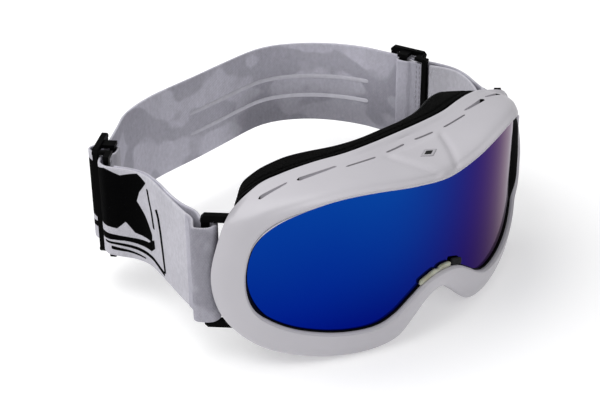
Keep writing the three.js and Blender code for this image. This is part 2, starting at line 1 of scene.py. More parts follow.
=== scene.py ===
"""Ski goggles: fine surfaces, materials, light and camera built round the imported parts.
Shapes are worked out in the part's own drawing (millimetres, front is -Y) and then put in the row frame."""
import math
import bpy
import numpy as np
from mathutils import Matrix, Vector


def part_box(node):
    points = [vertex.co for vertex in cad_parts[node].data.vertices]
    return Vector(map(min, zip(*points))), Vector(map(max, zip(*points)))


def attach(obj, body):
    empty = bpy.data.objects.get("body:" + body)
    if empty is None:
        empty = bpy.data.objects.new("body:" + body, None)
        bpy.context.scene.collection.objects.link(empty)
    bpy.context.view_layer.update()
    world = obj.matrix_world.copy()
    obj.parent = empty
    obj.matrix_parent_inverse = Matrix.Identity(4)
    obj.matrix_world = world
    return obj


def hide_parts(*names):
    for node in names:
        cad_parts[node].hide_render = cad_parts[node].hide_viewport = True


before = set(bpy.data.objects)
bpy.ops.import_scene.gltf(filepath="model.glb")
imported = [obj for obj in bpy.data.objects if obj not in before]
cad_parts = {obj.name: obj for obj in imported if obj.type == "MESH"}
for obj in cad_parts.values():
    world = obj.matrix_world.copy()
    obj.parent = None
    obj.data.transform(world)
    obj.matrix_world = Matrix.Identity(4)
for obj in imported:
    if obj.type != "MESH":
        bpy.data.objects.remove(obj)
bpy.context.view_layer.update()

# ------------------------------------------------------------------ dimensions (mm)
R = 111.5
SUB = 12
STRAP_T = 1.2
ZS1, ZS0 = 20.0, -20.0
LOOP_O, LOOP_S, LOOP_HALF = 7.0, 91.4, 4.9
HG = 3.6
lens_lo, lens_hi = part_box("lens_outer")
strap_lo, strap_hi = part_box("strap_main")
OFF = np.array([(lens_lo.x + lens_hi.x) * 500.0, lens_lo.y * 1000.0 - 1.0, strap_lo.z * 1000.0 - ZS0])

A = [[0,26.8],[16,28.4],[32,30.4],[46,30.5],[59,27.9],[70.5,22.8],[78,15.2],[81.1,4],[80.3,-7],[75.5,-15.2],[66,-21],[54,-24.8],[42,-26.9],[31,-27],[23.2,-24.2],[16.3,-19.5],[8.6,-14.8],[0,-13.1]]
B = [[0,31.2,3.5],[17,32.4,3.5],[33,34.0,4],[48,33.9,3.6],[62.5,31.8,2.6],[76,27.6,1.6],[87.6,20.2,1],[93.7,5,1],[93.1,-9,1],[87.4,-20.2,1],[76,-29.4,1],[60,-35.2,1.5],[45,-38,2],[31,-38.6,2],[20.5,-36.6,2],[13.6,-30.7,2],[7,-24.7,2],[0,-22,2]]
C = [[0,34.3,19.4],[17,34.4,18.1],[34,34.9,15.6],[49,34.6,14],[63.5,32.9,11.5],[77,29.3,7.5],[88.9,21.6,2.2],[92.6,5,2.2],[91.9,-9,2.2],[86.6,-20,3],[75.6,-28.6,5],[60,-34.6,7],[45,-37.2,8.5],[31,-37.9,9],[21,-35.9,9.5],[14.1,-30,10],[7.5,-24.1,10.5],[0,-21.3,11]]
D = [[0,36.5,24.8],[17,36.3,24.2],[34,36.1,22.4],[50,35.5,21.1],[65,33.7,18.6],[77.2,30.9,14.2],[87.6,24.8,3.4],[90.2,5,3.2],[89.4,-9,3.2],[84.6,-19.4,5],[74.4,-27.6,9.5],[59.4,-33.4,12.5],[45,-36,14.5],[31,-36.7,15.6],[21.6,-34.7,16.6],[14.6,-29.1,17.6],[8,-23.4,18.6],[0,-20.6,19.5]]
F = [[0,35.7,25.4],[17,35.5,24.8],[34,35.2,23],[50,34.4,21.7],[65,33.0,19.4],[77.8,29.9,16.2],[86.0,23.2,13.2],[86.3,5,10.2],[85.4,-9,10],[80.8,-18.8,10.8],[71.6,-26.2,12.6],[58.4,-31.6,14.6],[45,-34.2,16.2],[31.6,-34.8,17.2],[22.6,-32.8,18.2],[15.4,-27.6,19.2],[8.4,-22.2,20.2],[0,-19.6,21]]
NH = (len(A) - 1) * SUB
N = NH * 2


def catmull(p0, p1, p2, p3, t):
    return 0.5 * (2 * p1 + (p2 - p0) * t + (2 * p0 - 5 * p1 + 4 * p2 - p3) * t * t + (3 * p1 - p0 - 3 * p2 + p3) * t ** 3)


def loop(rail):
    rail = [np.array(list(q) + [0.0] * (3 - len(q)), float) for q in rail]
    n = len(rail)
    flip = np.array([-1.0, 1, 1])

    def get(i):
        if i < 0:
            return rail[-i] * flip
        if i >= n:
            return rail[2 * (n - 1) - i] * flip
        return rail[i]
    half = [catmull(get(k - 1), get(k), get(k + 1), get(k + 2), j / SUB) for k in range(n - 1) for j in range(SUB)]
    half.append(rail[-1])
    return np.array(half + [half[i] * flip for i in range(NH - 1, 0, -1)])


def normals(L):
    d = np.roll(L, -1, 0) - np.roll(L, 1, 0)
    n = np.stack([-d[:, 1], d[:, 0]], 1)
    n /= np.linalg.norm(n, axis=1, keepdims=True)
    return n if n[0, 1] > 0 else -n


def off(L, nn, d, o):
    out = np.zeros((len(L), 3))
    out[:, :2] = L[:, :2] + nn * (np.asarray(d, float).reshape(-1, 1) if np.ndim(d) else d)
    out[:, 2] = o
    return out


def inset(L, nn, d, dz):
    q = off(L, nn, d, L[:, 2])
    reps = 12 * (SUB // 2) ** 2
    for k in range(reps):
        a = 0.5 * q + 0.25 * (np.roll(q, 1, 0) + np.roll(q, -1, 0))
        if k > reps // 3:
            a[:, :2] = q[:, :2]
        q = a
    q[:, 2] += dz
    return q


def P3(q):
    q = np.asarray(q, float)
    r, f = R - q[..., 2], q[..., 0] / R
    return np.stack([r * np.sin(f), R - r * np.cos(f), q[..., 1]], -1)


def row(p):
    return (np.asarray(p, float) + OFF) * 0.001


def smoothstep(a, b, x):
    t = np.clip((np.asarray(x, float) - a) / (b - a), 0, 1)
    return t * t * (3 - 2 * t)


# small repeatable noise: a sum of sines with fixed phases
_rng = np.random.default_rng(7)
_K = _rng.normal(size=(24, 3))
_K /= np.linalg.norm(_K, axis=1, keepdims=True)
_PH = _rng.uniform(0, 6.28, 24)
_FR = _rng.uniform(0.6, 1.7, 24)


def lumps(p, wave):
    return np.sin((p @ _K.T) * (6.2832 / wave) * _FR + _PH).sum(-1) / 5.0


# ------------------------------------------------------------------ mesh building
def add_mesh(name, verts, faces, uvs=None, attrs=None, sharp=40, mm=True):
    me = bpy.data.meshes.new(name)
    v = row(verts) if mm else np.asarray(verts, float)
    me.from_pydata([tuple(q) for q in v.tolist()], [], faces)
    if uvs is not None:
        layer = me.uv_layers.new(name="UVMap")
        layer.data.foreach_set("uv", np.asarray(uvs, np.float32).ravel())
    for key, val in (attrs or {}).items():
        at = me.attributes.new(key, "FLOAT", "POINT")
        at.data.foreach_set("value", np.asarray(val, np.float32).ravel())
    me.validate()
    me.update()
    me.shade_smooth()
    if sharp:
        me.set_sharp_from_angle(angle=math.radians(sharp))
    ob = bpy.data.objects.new(name, me)
    bpy.context.scene.collection.objects.link(ob)
    return ob


def grid(name, P, wrap_i, wrap_j, caps=False, sharp=40, attrs=None, flip=False, vmul=1.0):
    """P[i, j] points; wraps along i and/or j; caps close the two ends of a strip. UVs in metres."""
    n, m = P.shape[:2]
    ni, nj = (n if wrap_i else n - 1), (m if wrap_j else m - 1)
    du = np.concatenate([[0], np.cumsum(np.linalg.norm(np.diff(P[:, :, :], axis=0), axis=2).mean(1))])
    lastu = du[-1] + np.linalg.norm(P[0] - P[-1], axis=1).mean()
    dv = np.concatenate([[0], np.cumsum(np.linalg.norm(np.diff(P, axis=1), axis=2).mean(0))])
    lastv = dv[-1] + np.linalg.norm(P[:, 0] - P[:, -1], axis=1).mean()
    U, W = np.append(du, lastu) * 0.001, np.append(dv, lastv) * 0.001 * vmul
    faces, uvs = [], []
    for i in range(ni):
        i2 = (i + 1) % n
        for j in range(nj):
            j2 = (j + 1) % m
            q = [(i, j, i, j), (i2, j, i + 1, j), (i2, j2, i + 1, j + 1), (i, j2, i, j + 1)]
            if flip:
                q = q[::-1]
            faces.append([a * m + b for a, b, _, _ in q])
            uvs += [(U[c], W[d]) for _, _, c, d in q]
    if caps:
        e0, e1 = [j for j in range(m)], [(n - 1) * m + j for j in range(m)]
        for ring, rev in ((e0, not flip), (e1, flip)):
            f = ring[::-1] if rev else ring
            faces.append(f)
            uvs += [(0.0, 0.0)] * m
    ob = add_mesh(name, P.reshape(-1, 3), faces, uvs, attrs, sharp)
    out_check(ob)
    return ob


def out_check(ob):
    me = ob.data
    v = np.zeros(len(me.vertices) * 3)
    me.vertices.foreach_get("co", v)
    v = v.reshape(-1, 3)
    me.calc_loop_triangles()
    t = np.zeros(len(me.loop_triangles) * 3, int)
    me.loop_triangles.foreach_get("vertices", t)
    t = t.reshape(-1, 3)
    vol = np.einsum("ij,ij->i", v[t[:, 0]], np.cross(v[t[:, 1]], v[t[:, 2]])).sum()
    if vol < 0:
        me.flip_normals()


def sweep(name, loops, sharp=40, bend=None, attrs=None):
    """Ring body from section controls [N,3] in sheet coordinates; bend = steps of the smooth part of the section."""
    Q = np.stack(loops, 1)
    if bend is not None:
        k = Q.shape[1]
        segs = []
        for j, s in enumerate(bend):
            a, b, c, d = Q[:, (j - 1) % k], Q[:, j], Q[:, (j + 1) % k], Q[:, (j + 2) % k]
            for t in range(abs(s)):
                x = t / abs(s)
                segs.append(b + (c - b) * x if s < 0 or abs(s) == 1 else catmull(a, b, c, d, x))
        Q = np.stack(segs, 1)
    return grid(name, P3(Q), True, True, sharp=sharp, attrs=attrs), Q


def join(name, parts):
    """One mesh from (verts mm, faces) parts."""
    V, Fs, base = [], [], 0
    for v, f in parts:
        V.append(np.asarray(v, float))
        Fs += [[i + base for i in q] for q in f]
        base += len(v)
    return add_mesh(name, np.concatenate(V), Fs)


# ------------------------------------------------------------------ materials
def hexlin(r, g, b):
    return tuple(((c / 255) / 12.92 if c / 255 <= 0.04045 else ((c / 255 + 0.055) / 1.055) ** 2.4) for c in (r, g, b))


class Mat:
    def __init__(self, name, color, rough=0.5, metal=0.0, **kw):
        self.m = bpy.data.materials.new(name)
        self.m.use_nodes = True
        self.nt = self.m.node_tree
        self.b = self.nt.nodes["Principled BSDF"]
        self.b.inputs["Base Color"].default_value = (*color, 1)
        self.b.inputs["Roughness"].default_value = rough
        self.b.inputs["Metallic"].default_value = metal
        for k, v in kw.items():
            self.b.inputs[k.replace("_", " ")].default_value = v
        self.m.diffuse_color = (*color, 1)

    def node(self, kind, **props):
        n = self.nt.nodes.new(kind)
        for k, v in props.items():
            setattr(n, k, v)
        return n

    def link(self, a, b):
        self.nt.links.new(a, b)

    def coords(self, kind="Object"):
        if kind == "UV":
            return self.node("ShaderNodeUVMap", uv_map="UVMap").outputs["UV"]
        return self.node("ShaderNodeTexCoord").outputs[kind]

    def math(self, op, a, b=None, c=None, clamp=False):
        n = self.node("ShaderNodeMath", operation=op, use_clamp=clamp)
        for i, x in enumerate((a, b, c)):
            if x is None:
                continue
            if isinstance(x, (int, float)):
                n.inputs[i].default_value = x
            else:
                self.link(x, n.inputs[i])
        return n.outputs[0]

    def noise(self, scale, detail=3.0, rough=0.5, co=None, stretch=None):
        n = self.node("ShaderNodeTexNoise")
        n.inputs["Scale"].default_value = scale
        n.inputs["Detail"].default_value = detail
        n.inputs["Roughness"].default_value = rough
        src = co or self.coords()
        if stretch:
            mp = self.node("ShaderNodeMapping")
            mp.inputs["Scale"].default_value = stretch
            self.link(src, mp.inputs["Vector"])
            src = mp.outputs["Vector"]
        self.link(src, n.inputs["Vector"])
        return n.outputs["Fac"]

    def voronoi(self, scale, feature="F1", co=None):
        n = self.node("ShaderNodeTexVoronoi", feature=feature)
        n.inputs["Scale"].default_value = scale
        self.link(co or self.coords(), n.inputs["Vector"])
        return n.outputs["Distance"]

    def remap(self, x, a, b, c, d, smooth=False):
        n = self.node("ShaderNodeMapRange", clamp=True, interpolation_type="SMOOTHSTEP" if smooth else "LINEAR")
        self.link(x, n.inputs["Value"])
        for k, v in (("From Min", a), ("From Max", b), ("To Min", c), ("To Max", d)):
            n.inputs[k].default_value = v
        return n.outputs["Result"]

    def mix(self, f, a, b):
        n = self.node("ShaderNodeMix", data_type="RGBA")
        if isinstance(f, (int, float)):
            n.inputs[0].default_value = f
        else:
            self.link(f, n.inputs[0])
        for i, x in ((6, a), (7, b)):
            if isinstance(x, tuple):
                n.inputs[i].default_value = (*x, 1)
            else:
                self.link(x, n.inputs[i])
        return n.outputs[2]

    def color(self, x):
        self.link(x, self.b.inputs["Base Color"])

    def rough(self, x):
        self.link(x, self.b.inputs["Roughness"])

    def bump(self, h, strength, dist, prev=None):
        n = self.node("ShaderNodeBump")
        n.inputs["Strength"].default_value = strength
        n.inputs["Distance"].default_value = dist
        self.link(h, n.inputs["Height"])
        if prev is not None:
            self.link(prev, n.inputs["Normal"])
        self.link(n.outputs["Normal"], self.b.inputs["Normal"])
        return n.outputs["Normal"]

    def attr(self, name):
        return self.node("ShaderNodeAttribute", attribute_name=name).outputs["Fac"]


def m_shell(name="pearl_shell", k=1.0):
    m = Mat(name, (0.52, 0.508, 0.535), 0.44, Coat_Weight=0.15, Coat_Roughness=0.3, Specular_IOR_Level=0.35)
    n = m.noise(45, 3)
    m.color(m.mix(m.remap(n, 0.3, 0.7, 0, 1), (0.510 * k, 0.496 * k, 0.530 * k), (0.530 * k, 0.515 * k, 0.550 * k)))
    m.rough(m.remap(m.noise(60, 3), 0.3, 0.7, 0.42, 0.47))
    m.bump(m.noise(2600, 2), 0.004, 0.00005)
    return m.m


def m_lens():
    m = Mat("mirror_coat", (0.0, 0.045, 0.34), 0.05, 1.0)
    geo = m.node("ShaderNodeSeparateXYZ")
    m.link(m.coords(), geo.inputs[0])
    # painted reflection shade: the mirror's edge tint is made duller along the right-hand edge of the lens
    edge = m.remap(geo.outputs[0], 0.044, 0.058, 0, 1, True)
    m.link(m.mix(edge, (0.73, 0.60, 0.60), (0.56, 0.49, 0.53)), m.b.inputs["Specular Tint"])
    # painted reflection: the base colour runs deeper towards the bottom of the lens and lighter towards the top
    g = m.remap(geo.outputs[2], (OFF[2] - 27) / 1000, (OFF[2] + 30) / 1000, 0, 1)
    low_c = m.mix(g, (0.0, 0.004, 0.19), (0.002, 0.050, 0.30))
    # painted reflection shade: the lens turns darker and more violet towards its right-hand side, where the coating is
    # seen at a glancing angle
    painted_shade_right = m.remap(geo.outputs[0], -0.030, 0.036, 0, 1, True)
    drift = m.remap(m.noise(14, 2), 0.3, 0.7, 0.0, 0.35)
    m.color(m.mix(painted_shade_right, m.mix(drift, low_c, (0.0, 0.010, 0.235)), (0.003, 0.0006, 0.125)))
    m.rough(m.remap(m.noise(300, 4), 0.35, 0.75, 0.035, 0.075))
    m.bump(m.noise(700, 2), 0.012, 0.0001)
    return m.m


def m_black(name="satin_black", base=0.002, rough=(0.38, 0.5), grain=1400, strength=0.12, **kw):
    kw.setdefault("Specular_IOR_Level", 0.022)
    m = Mat(name, (base, base, base * 1.08), rough[0], **kw)
    n = m.noise(120, 4)
    m.color(m.mix(m.remap(n, 0.3, 0.7, 0, 1), (base * 0.8, base * 0.8, base * 0.88), (base * 1.35, base * 1.35, base * 1.45)))
    m.rough(m.remap(m.noise(500, 4), 0.3, 0.7, rough[0], rough[1]))
    m.bump(m.noise(grain, 3), strength, 0.00015)
    return m.m


def m_foam(name, base, cell, strength):
    m = Mat(name, (base, base, base), 0.95, Sheen_Weight=0.01, Sheen_Roughness=0.5, Specular_IOR_Level=0.02)
    v = m.voronoi(cell)
    n = m.noise(cell * 0.35, 5, 0.7)
    m.color(m.mix(m.remap(v, 0.1, 0.6, 0, 1), (base * 1.7,) * 3, (base * 0.45,) * 3))
    nb = m.bump(v, strength, 0.0005)
    m.bump(n, 0.5, 0.0004, nb)
    return m.m


def m_fleece():
    m = Mat("brushed_fleece", (0.012, 0.012, 0.013), 1.0, Sheen_Weight=0.12, Sheen_Roughness=0.4, Specular_IOR_Level=0.06)
    n = m.noise(2600, 4, 0.75)
    m.color(m.mix(m.remap(n, 0.3, 0.7, 0, 1), (0.005, 0.005, 0.006), (0.022, 0.022, 0.024)))
    nb = m.bump(n, 0.7, 0.0006)
    m.bump(m.noise(420, 3), 0.4, 0.0008, nb)
    return m.m


def m_web(name="webbing_weave", pr=True, plain=(0.535, 0.526, 0.576)):
    """Narrow elastic: ribs along the strip, picks across; print on one face, its ghost on the other."""
    m = Mat(name, plain, 0.9, Sheen_Weight=0.0, Specular_IOR_Level=0.03)
    uv = m.node("ShaderNodeSeparateXYZ")
    m.link(m.coords("UV"), uv.inputs[0])
    u, v = uv.outputs[0], uv.outputs[1]
    rib = m.math("ABSOLUTE", m.math("SINE", m.math("MULTIPLY", v, math.pi / 0.00072)))
    shift = m.math("MULTIPLY", m.math("GREATER_THAN", m.math("SINE", m.math("MULTIPLY", v, math.pi / 0.00072)), 0.0), math.pi)
    pick = m.math("SINE", m.math("ADD", m.math("MULTIPLY", u, 2 * math.pi / 0.00085), shift))
    tex = m.math("ADD", m.math("MULTIPLY", rib, 0.6), m.math("MULTIPLY", m.math("MULTIPLY", pick, 0.5), rib))
    fuzz = m.noise(2200, 3, 0.7)
    wide = m.noise(55, 3, 0.55)
    side = m.attr("side")
    base = m.mix(m.remap(wide, 0.3, 0.7, 0, 1), tuple(c * 0.95 for c in plain), tuple(c * 1.04 for c in plain))
    inner = m.mix(m.remap(m.attr("ghost"), -0.12, 0.12, 0, 1, True), (0.30, 0.294, 0.338), (0.415, 0.407, 0.462))
    inner = m.mix(m.remap(m.noise(60, 4, 0.6, stretch=(1, 1, 0.35)), 0.35, 0.7, 0, 0.55), inner, (0.345, 0.338, 0.386))
    # painted light and shade on the inner face of the back run: paler along its upper half and low on the left, darker
    # low on the right, as the light falls on it
    pos = m.node("ShaderNodeSeparateXYZ")
    m.link(m.coords(), pos.inputs[0])
    low = m.remap(pos.outputs[0], 0.008, 0.034, 1.45, 0.74, True)
    up = m.remap(pos.outputs[2], (OFF[2] - 17) / 1000, (OFF[2] + 17) / 1000, 0, 1, True)
    top = m.remap(pos.outputs[0], 0.072, 0.082, 1.55, 1.18, True)
    painted_light_gain = m.math("ADD", low, m.math("MULTIPLY", up, m.math("SUBTRACT", top, low)))
    back = m.remap(pos.outputs[1], -0.034, -0.004, 0, 1, True)
    painted_light_gain = m.math("ADD", 1.0, m.math("MULTIPLY", back, m.math("SUBTRACT", painted_light_gain, 1.0)))
    lit = m.node("ShaderNodeMix", data_type="RGBA", blend_type="MULTIPLY")
    lit.inputs[0].default_value = 1.0
    m.link(inner, lit.inputs[6])
    pc = m.node("ShaderNodeCombineColor")
    for i in range(3):
        m.link(painted_light_gain, pc.inputs[i])
    m.link(pc.outputs[0], lit.inputs[7])
    col = m.mix(m.remap(side, -0.5, 0.2, 0, 1, True), lit.outputs[2], base)
    if pr:
        edge = m.math("ADD", m.attr("ink"), m.math("MULTIPLY", m.math("SUBTRACT", fuzz, 0.5), 0.25))
        ink = m.remap(edge, -0.10, 0.12, 0, 1, True)
        col = m.mix(ink, col, (0.0008, 0.0008, 0.0010))
    heather = m.remap(m.noise(750, 3, 0.65, stretch=(1, 1, 0.6)), 0.3, 0.7, 0.90, 1.07)
    shade = m.math("MULTIPLY", m.math("MULTIPLY", m.remap(tex, -0.2, 1.0, 0.93, 1.03), heather), m.remap(fuzz, 0.25, 0.75, 0.93, 1.05))
    mul = m.node("ShaderNodeMix", data_type="RGBA", blend_type="MULTIPLY")
    mul.inputs[0].default_value = 1.0
    m.link(col, mul.inputs[6])
    comb = m.node("ShaderNodeCombineColor")
    for i in range(3):
        m.link(shade, comb.inputs[i])
    m.link(comb.outputs[0], mul.inputs[7])
    m.color(mul.outputs[2])
    nb = m.bump(tex, 0.45, 0.00022)
    m.bump(fuzz, 0.25, 0.0002, nb)
    return m.m


def m_grip():
    m = Mat("silicone_line", (0.34, 0.333, 0.38), 0.6, Specular_IOR_Level=0.12)
    m.rough(m.remap(m.noise(800, 3), 0.3, 0.7, 0.5, 0.65))
    sx = m.node("ShaderNodeSeparateXYZ")
    m.link(m.coords(), sx.inputs[0])
    worn = m.mix(m.remap(m.noise(500, 3), 0.3, 0.7, 0, 1), (0.485, 0.476, 0.535), (0.535, 0.525, 0.590))
    fresh = m.mix(m.remap(m.noise(420, 3), 0.3, 0.7, 0, 1), (0.50, 0.49, 0.545), (0.57, 0.56, 0.62))
    m.color(m.mix(m.remap(sx.outputs[0], -0.02, 0.012, 0, 1, True), worn, fresh))
    m.bump(m.noise(1500, 2), 0.25, 0.0002)
    return m.m


def m_clip():
    m = Mat("pale_clip", (0.72, 0.71, 0.66), 0.28, Subsurface_Weight=0.15, Coat_Weight=0.3, Coat_Roughness=0.1)
    m.color(m.mix(m.remap(m.noise(220, 3), 0.3, 0.7, 0, 1), (0.33, 0.305, 0.205), (0.50, 0.475, 0.37)))
    m.bump(m.noise(900, 3), 0.08, 0.0002)
    return m.m


def m_clear():
    m = Mat("clear_sheet", (0.80, 0.82, 0.84), 0.04, Transmission_Weight=0.92, IOR=1.48)
    m.rough(m.remap(m.noise(40, 3), 0.35, 0.7, 0.0, 0.02))
    m.bump(m.noise(60, 2), 0.002, 0.0001)
    return m.m


def m_smoke():
    m = Mat("lens_back", (0.02, 0.022, 0.035), 0.09, Coat_Weight=0.4, Coat_Roughness=0.05)
    m.color(m.mix(m.remap(m.noise(20, 2), 0.3, 0.7, 0, 1), (0.014, 0.016, 0.030), (0.03, 0.026, 0.036)))
    m.rough(m.remap(m.noise(60, 3), 0.35, 0.7, 0.10, 0.16))
    return m.m


def m_thread(c):
    m = Mat("thread", c, 0.7, Sheen_Weight=0.2)
    m.color(m.mix(m.remap(m.noise(3500, 2), 0.3, 0.7, 0, 1), tuple(x * 0.8 for x in c), tuple(x * 1.1 for x in c)))
    m.bump(m.noise(5200, 2, stretch=(1, 1, 3)), 0.5, 0.00015)
    return m.m


SHELL, LENS, SMOKE, CLEAR = m_shell(), m_lens(), m_smoke(), m_clear()
BLACK = m_black()
RUBBER = m_black("gasket_black", 0.003, (0.5, 0.62), 900, 0.1, Specular_IOR_Level=0.08)
DARK = m_black("dark_moulding", 0.004, (0.45, 0.6), 1100, 0.2)
GLOSS = m_black("badge_gloss", 0.008, (0.12, 0.2), 900, 0.03, Coat_Weight=0.6)
FOAM, VFOAM, FLEECE = m_foam("fine_foam", 0.0035, 1500, 0.75), m_foam("filter_foam", 0.005, 750, 1.0), m_fleece()
WEB, GRIP, CLIP = m_web(), m_grip(), m_clip()
PEARL2 = m_shell("badge_pearl", 0.86)
# painted shade: a dark material for the shaded right-hand part of the nose clip
SHADE_BLOCK = m_black("painted_shade_block", 0.012, (0.2, 0.3), 600, 0.05)
# the sewn ends' webbing: the strap webbing without print, a touch darker as painted shade
WEB2 = m_web("webbing_sewn", pr=False, plain=(0.53, 0.52, 0.57))
THREAD = m_thread((0.30, 0.29, 0.33))


def put(ob, body, slot, *mats, nodes=()):
    for x in mats:
        ob.data.materials.append(x)
    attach(ob, body)
    if nodes:
        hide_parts(*nodes)
    return ob


# ------------------------------------------------------------------ frame shell
LA, LB, LC, LD, LF = (loop(x) for x in (A, B, C, D, F))
NA, NB, NC, ND, NF = (normals(x) for x in (LA, LB, LC, LD, LF))
step_o = np.minimum(7.4, np.maximum(4.6, LC[:, 2] * 0.6 + 3.2))
mid = LA + (LB - LA) * 0.62
mid[:, 2] = -0.9 + 0.25 * LB[:, 2]
side_low = LC[:, 2] < 4
tall = smoothstep(0.55, 0.97, np.abs(NA[:, 0])) * smoothstep(-22, -15, LA[:, 1])
lift = tall * (1 - smoothstep(-2, 16, LA[:, 1]))
mid[:, 2] -= 0.75 * lift
ctl = [
    off(LA, NA, 0.12, 0.55), off(LA, NA, 0.0, -0.35 - 0.8 * lift), off(LA, NA, 0.45, -1.2 - 1.2 * lift), off(LA, NA, 1.4, -1.55 - 1.2 * lift), mid, LB, LC, LD,
    off(LD, ND, -0.85, LD[:, 2] + 0.45), off(LD, ND, -1.7, LD[:, 2] - 0.05),
    off(LC, NC, -2.0, LC[:, 2] + 0.6 * np.where(side_low, 1.0, 0.2)),
    off(LA, NA, 2.65, step_o), off(LA, NA, 1.65, step_o), off(LA, NA, 1.65, 0.55)]
K = len(ctl)
Q0 = np.stack(ctl, 1)
segs = []
steps = [2, 4, 4, 7, 9, 20, 8, 3, 3, 3, 3, 2, 3, 1]
for j, s in enumerate(steps):
    a, b, c, d = (Q0[:, (j + k) % K] for k in (-1, 0, 1, 2))
    for t in range(s):
        x = t / s
        segs.append(b + (c - b) * x if (j == 0 or j >= 9) else catmull(a, b, c, d, x))
QS = np.stack(segs, 1)
# the upper corners fall away a little towards the temples
QS[..., 2] += 1.2 * smoothstep(52, 74, np.abs(QS[..., 0])) * smoothstep(6, 24, QS[..., 1]) * (1 - smoothstep(1.0, 8.0, QS[..., 2])) * (np.arange(QS.shape[1]) >= sum(steps[:2]))
PS = P3(QS)
# outward direction of the section, for raised and sunk detail
t1 = np.roll(PS, -1, 0) - np.roll(PS, 1, 0)
t2 = np.roll(PS, -1, 1) - np.roll(PS, 1, 1)
nn = np.cross(t1, t2)
nn /= np.maximum(1e-9, np.linalg.norm(nn, axis=2, keepdims=True))
jB = sum(steps[:5])
if (nn[0, jB] @ np.array([0, -0.5, 1.0])) < 0:
    nn = -nn
s_, z_, o_ = QS[..., 0], QS[..., 1], QS[..., 2]
outer = np.zeros(QS.shape[1])
outer[sum(steps[:3]):sum(steps[:7])] = 1
half_w = 4.0 + np.clip(o_ + 0.4, 0, 30) * 0.72
brow = smoothstep(-1.7, 1.7, half_w - np.abs(s_)) * smoothstep(-1.2, 0.2, o_ + 0.2) * (z_ > 24) * (np.abs(s_) < 30) * smoothstep(0.0, 2.4, 17.4 - o_)
chev = np.exp(-((half_w - np.abs(s_) + 0.6) / 2.1) ** 2) * smoothstep(-1.2, 0.2, o_ + 0.2) * (z_ > 24) * (np.abs(s_) < 30) * smoothstep(0.0, 2.4, 17.4 - o_)
PS = PS + nn * ((0.85 * brow - 0.65 * chev) * outer)[..., None]
# shallow groove that runs along the top behind the slot line, near the rear edge
u_rel = np.zeros_like(o_)
top = smoothstep(22, 27, z_)
c0 = LC[:, 2][:, None]
groove = np.exp(-((o_ - (LD[:, 2][:, None] - 2.4)) / 0.32) ** 2) * top * (np.arange(QS.shape[1]) < sum(steps[:7]))
PS = PS - nn * (0.26 * groove * outer)[..., None]
shell = grid("frame_shell_skin", PS, True, True, sharp=38)

SLOTS = [[3.4, 15.2], [21.8, 38], [41.5, 60], [64, 76]]
XS, YS = [0, 3.4, 15.3, 22.5, 38, 41.5, 60, 64, 76.5], [19.4, 19.4, 18.2, 17.0, 14.8, 16.2, 12.8, 12.6, 7.6]
half = slice(0, NH // 2 + 1)
col_s = LC[half, 0]
inc = int(np.argmax(LC[:, 0])) + 1


def roof(s, o):
    """Height of the shell's top face at arc position s and depth o."""
    z = []
    for L_ in (LB, LC, LD):
        z.append((float(np.interp(abs(s), L_[:inc, 0], L_[:inc, 2])), float(np.interp(abs(s), L_[:inc, 0], L_[:inc, 1]))))
    z.sort()
    return float(np.interp(o, [q[0] for q in z], [q[1] for q in z]))


cut_parts, cut_mat = [], []
for sg in (-1, 1):
    for a, b in SLOTS:
        n = 16
        scoop = a > 40
        rows, w = [], (0.42 if not scoop else 0.95)
        for k in range(n + 1):
            t = k / n
            s = a + (b - a) * t
            e = min(s - a, b - s)
            hw = w if not scoop else 0.5 + 0.55 * t ** 1.2
            if e < hw:
                hw *= math.sqrt(max(0.06, 1 - (1 - e / hw) ** 2))
            o = float(np.interp(s, XS, YS)) + 0.15
            low = 23.0 if not scoop else roof(s, o) - 0.55 - 1.55 * t ** 1.3
            rows.append([[sg * s, low, o - hw], [sg * s, low, o + hw], [sg * s, 41, o + hw], [sg * s, 41, o - hw]])
        P = P3(np.array(rows))
        v = P.reshape(-1, 3)
        f = []
        for i in range(n):
            for j in range(4):
                f.append([i * 4 + j, i * 4 + (j + 1) % 4, (i + 1) * 4 + (j + 1) % 4, (i + 1) * 4 + j])
                # the deep end of each scoop gets the dark moulding: partly the vent's dark opening, partly painted
                # shade in the recess
                cut_mat.append(1 if scoop and i > 0.88 * n else 0)
        f.append([3, 2, 1, 0])
        f.append([n * 4 + j for j in range(4)])
        cut_mat += [0, 1 if scoop else 0]
        cut_parts.append((v, f))
cutter = join("slot_cutter", cut_parts)
shell.data.materials.append(SHELL)
shell.data.materials.append(DARK)
cutter.data.materials.append(SHELL)
cutter.data.materials.append(DARK)
cutter.data.polygons.foreach_set("material_index", cut_mat)
bpy.context.view_layer.objects.active = cutter
bpy.ops.object.mode_set(mode="EDIT")
bpy.ops.mesh.select_all(action="SELECT")
bpy.ops.mesh.normals_make_consistent(inside=False)
bpy.ops.object.mode_set(mode="OBJECT")
bo = shell.modifiers.new("slots", "BOOLEAN")
bo.operation, bo.object, bo.solver = "DIFFERENCE", cutter, "EXACT"
dg = bpy.context.evaluated_depsgraph_get()
cut_mesh = bpy.data.meshes.new_from_object(shell.evaluated_get(dg))
shell.modifiers.clear()
shell.data = cut_mesh
bpy.data.objects.remove(cutter)
shell.data.shade_smooth()
shell.data.set_sharp_from_angle(angle=math.radians(38))
put(shell, "goggles", "shell", nodes=["frame_shell"])

# ------------------------------------------------------------------ gasket, lenses, chamber
def ring(name, loops, sharp=40, bend=None):
    ob, _ = sweep(name, loops, sharp, bend)
    return ob

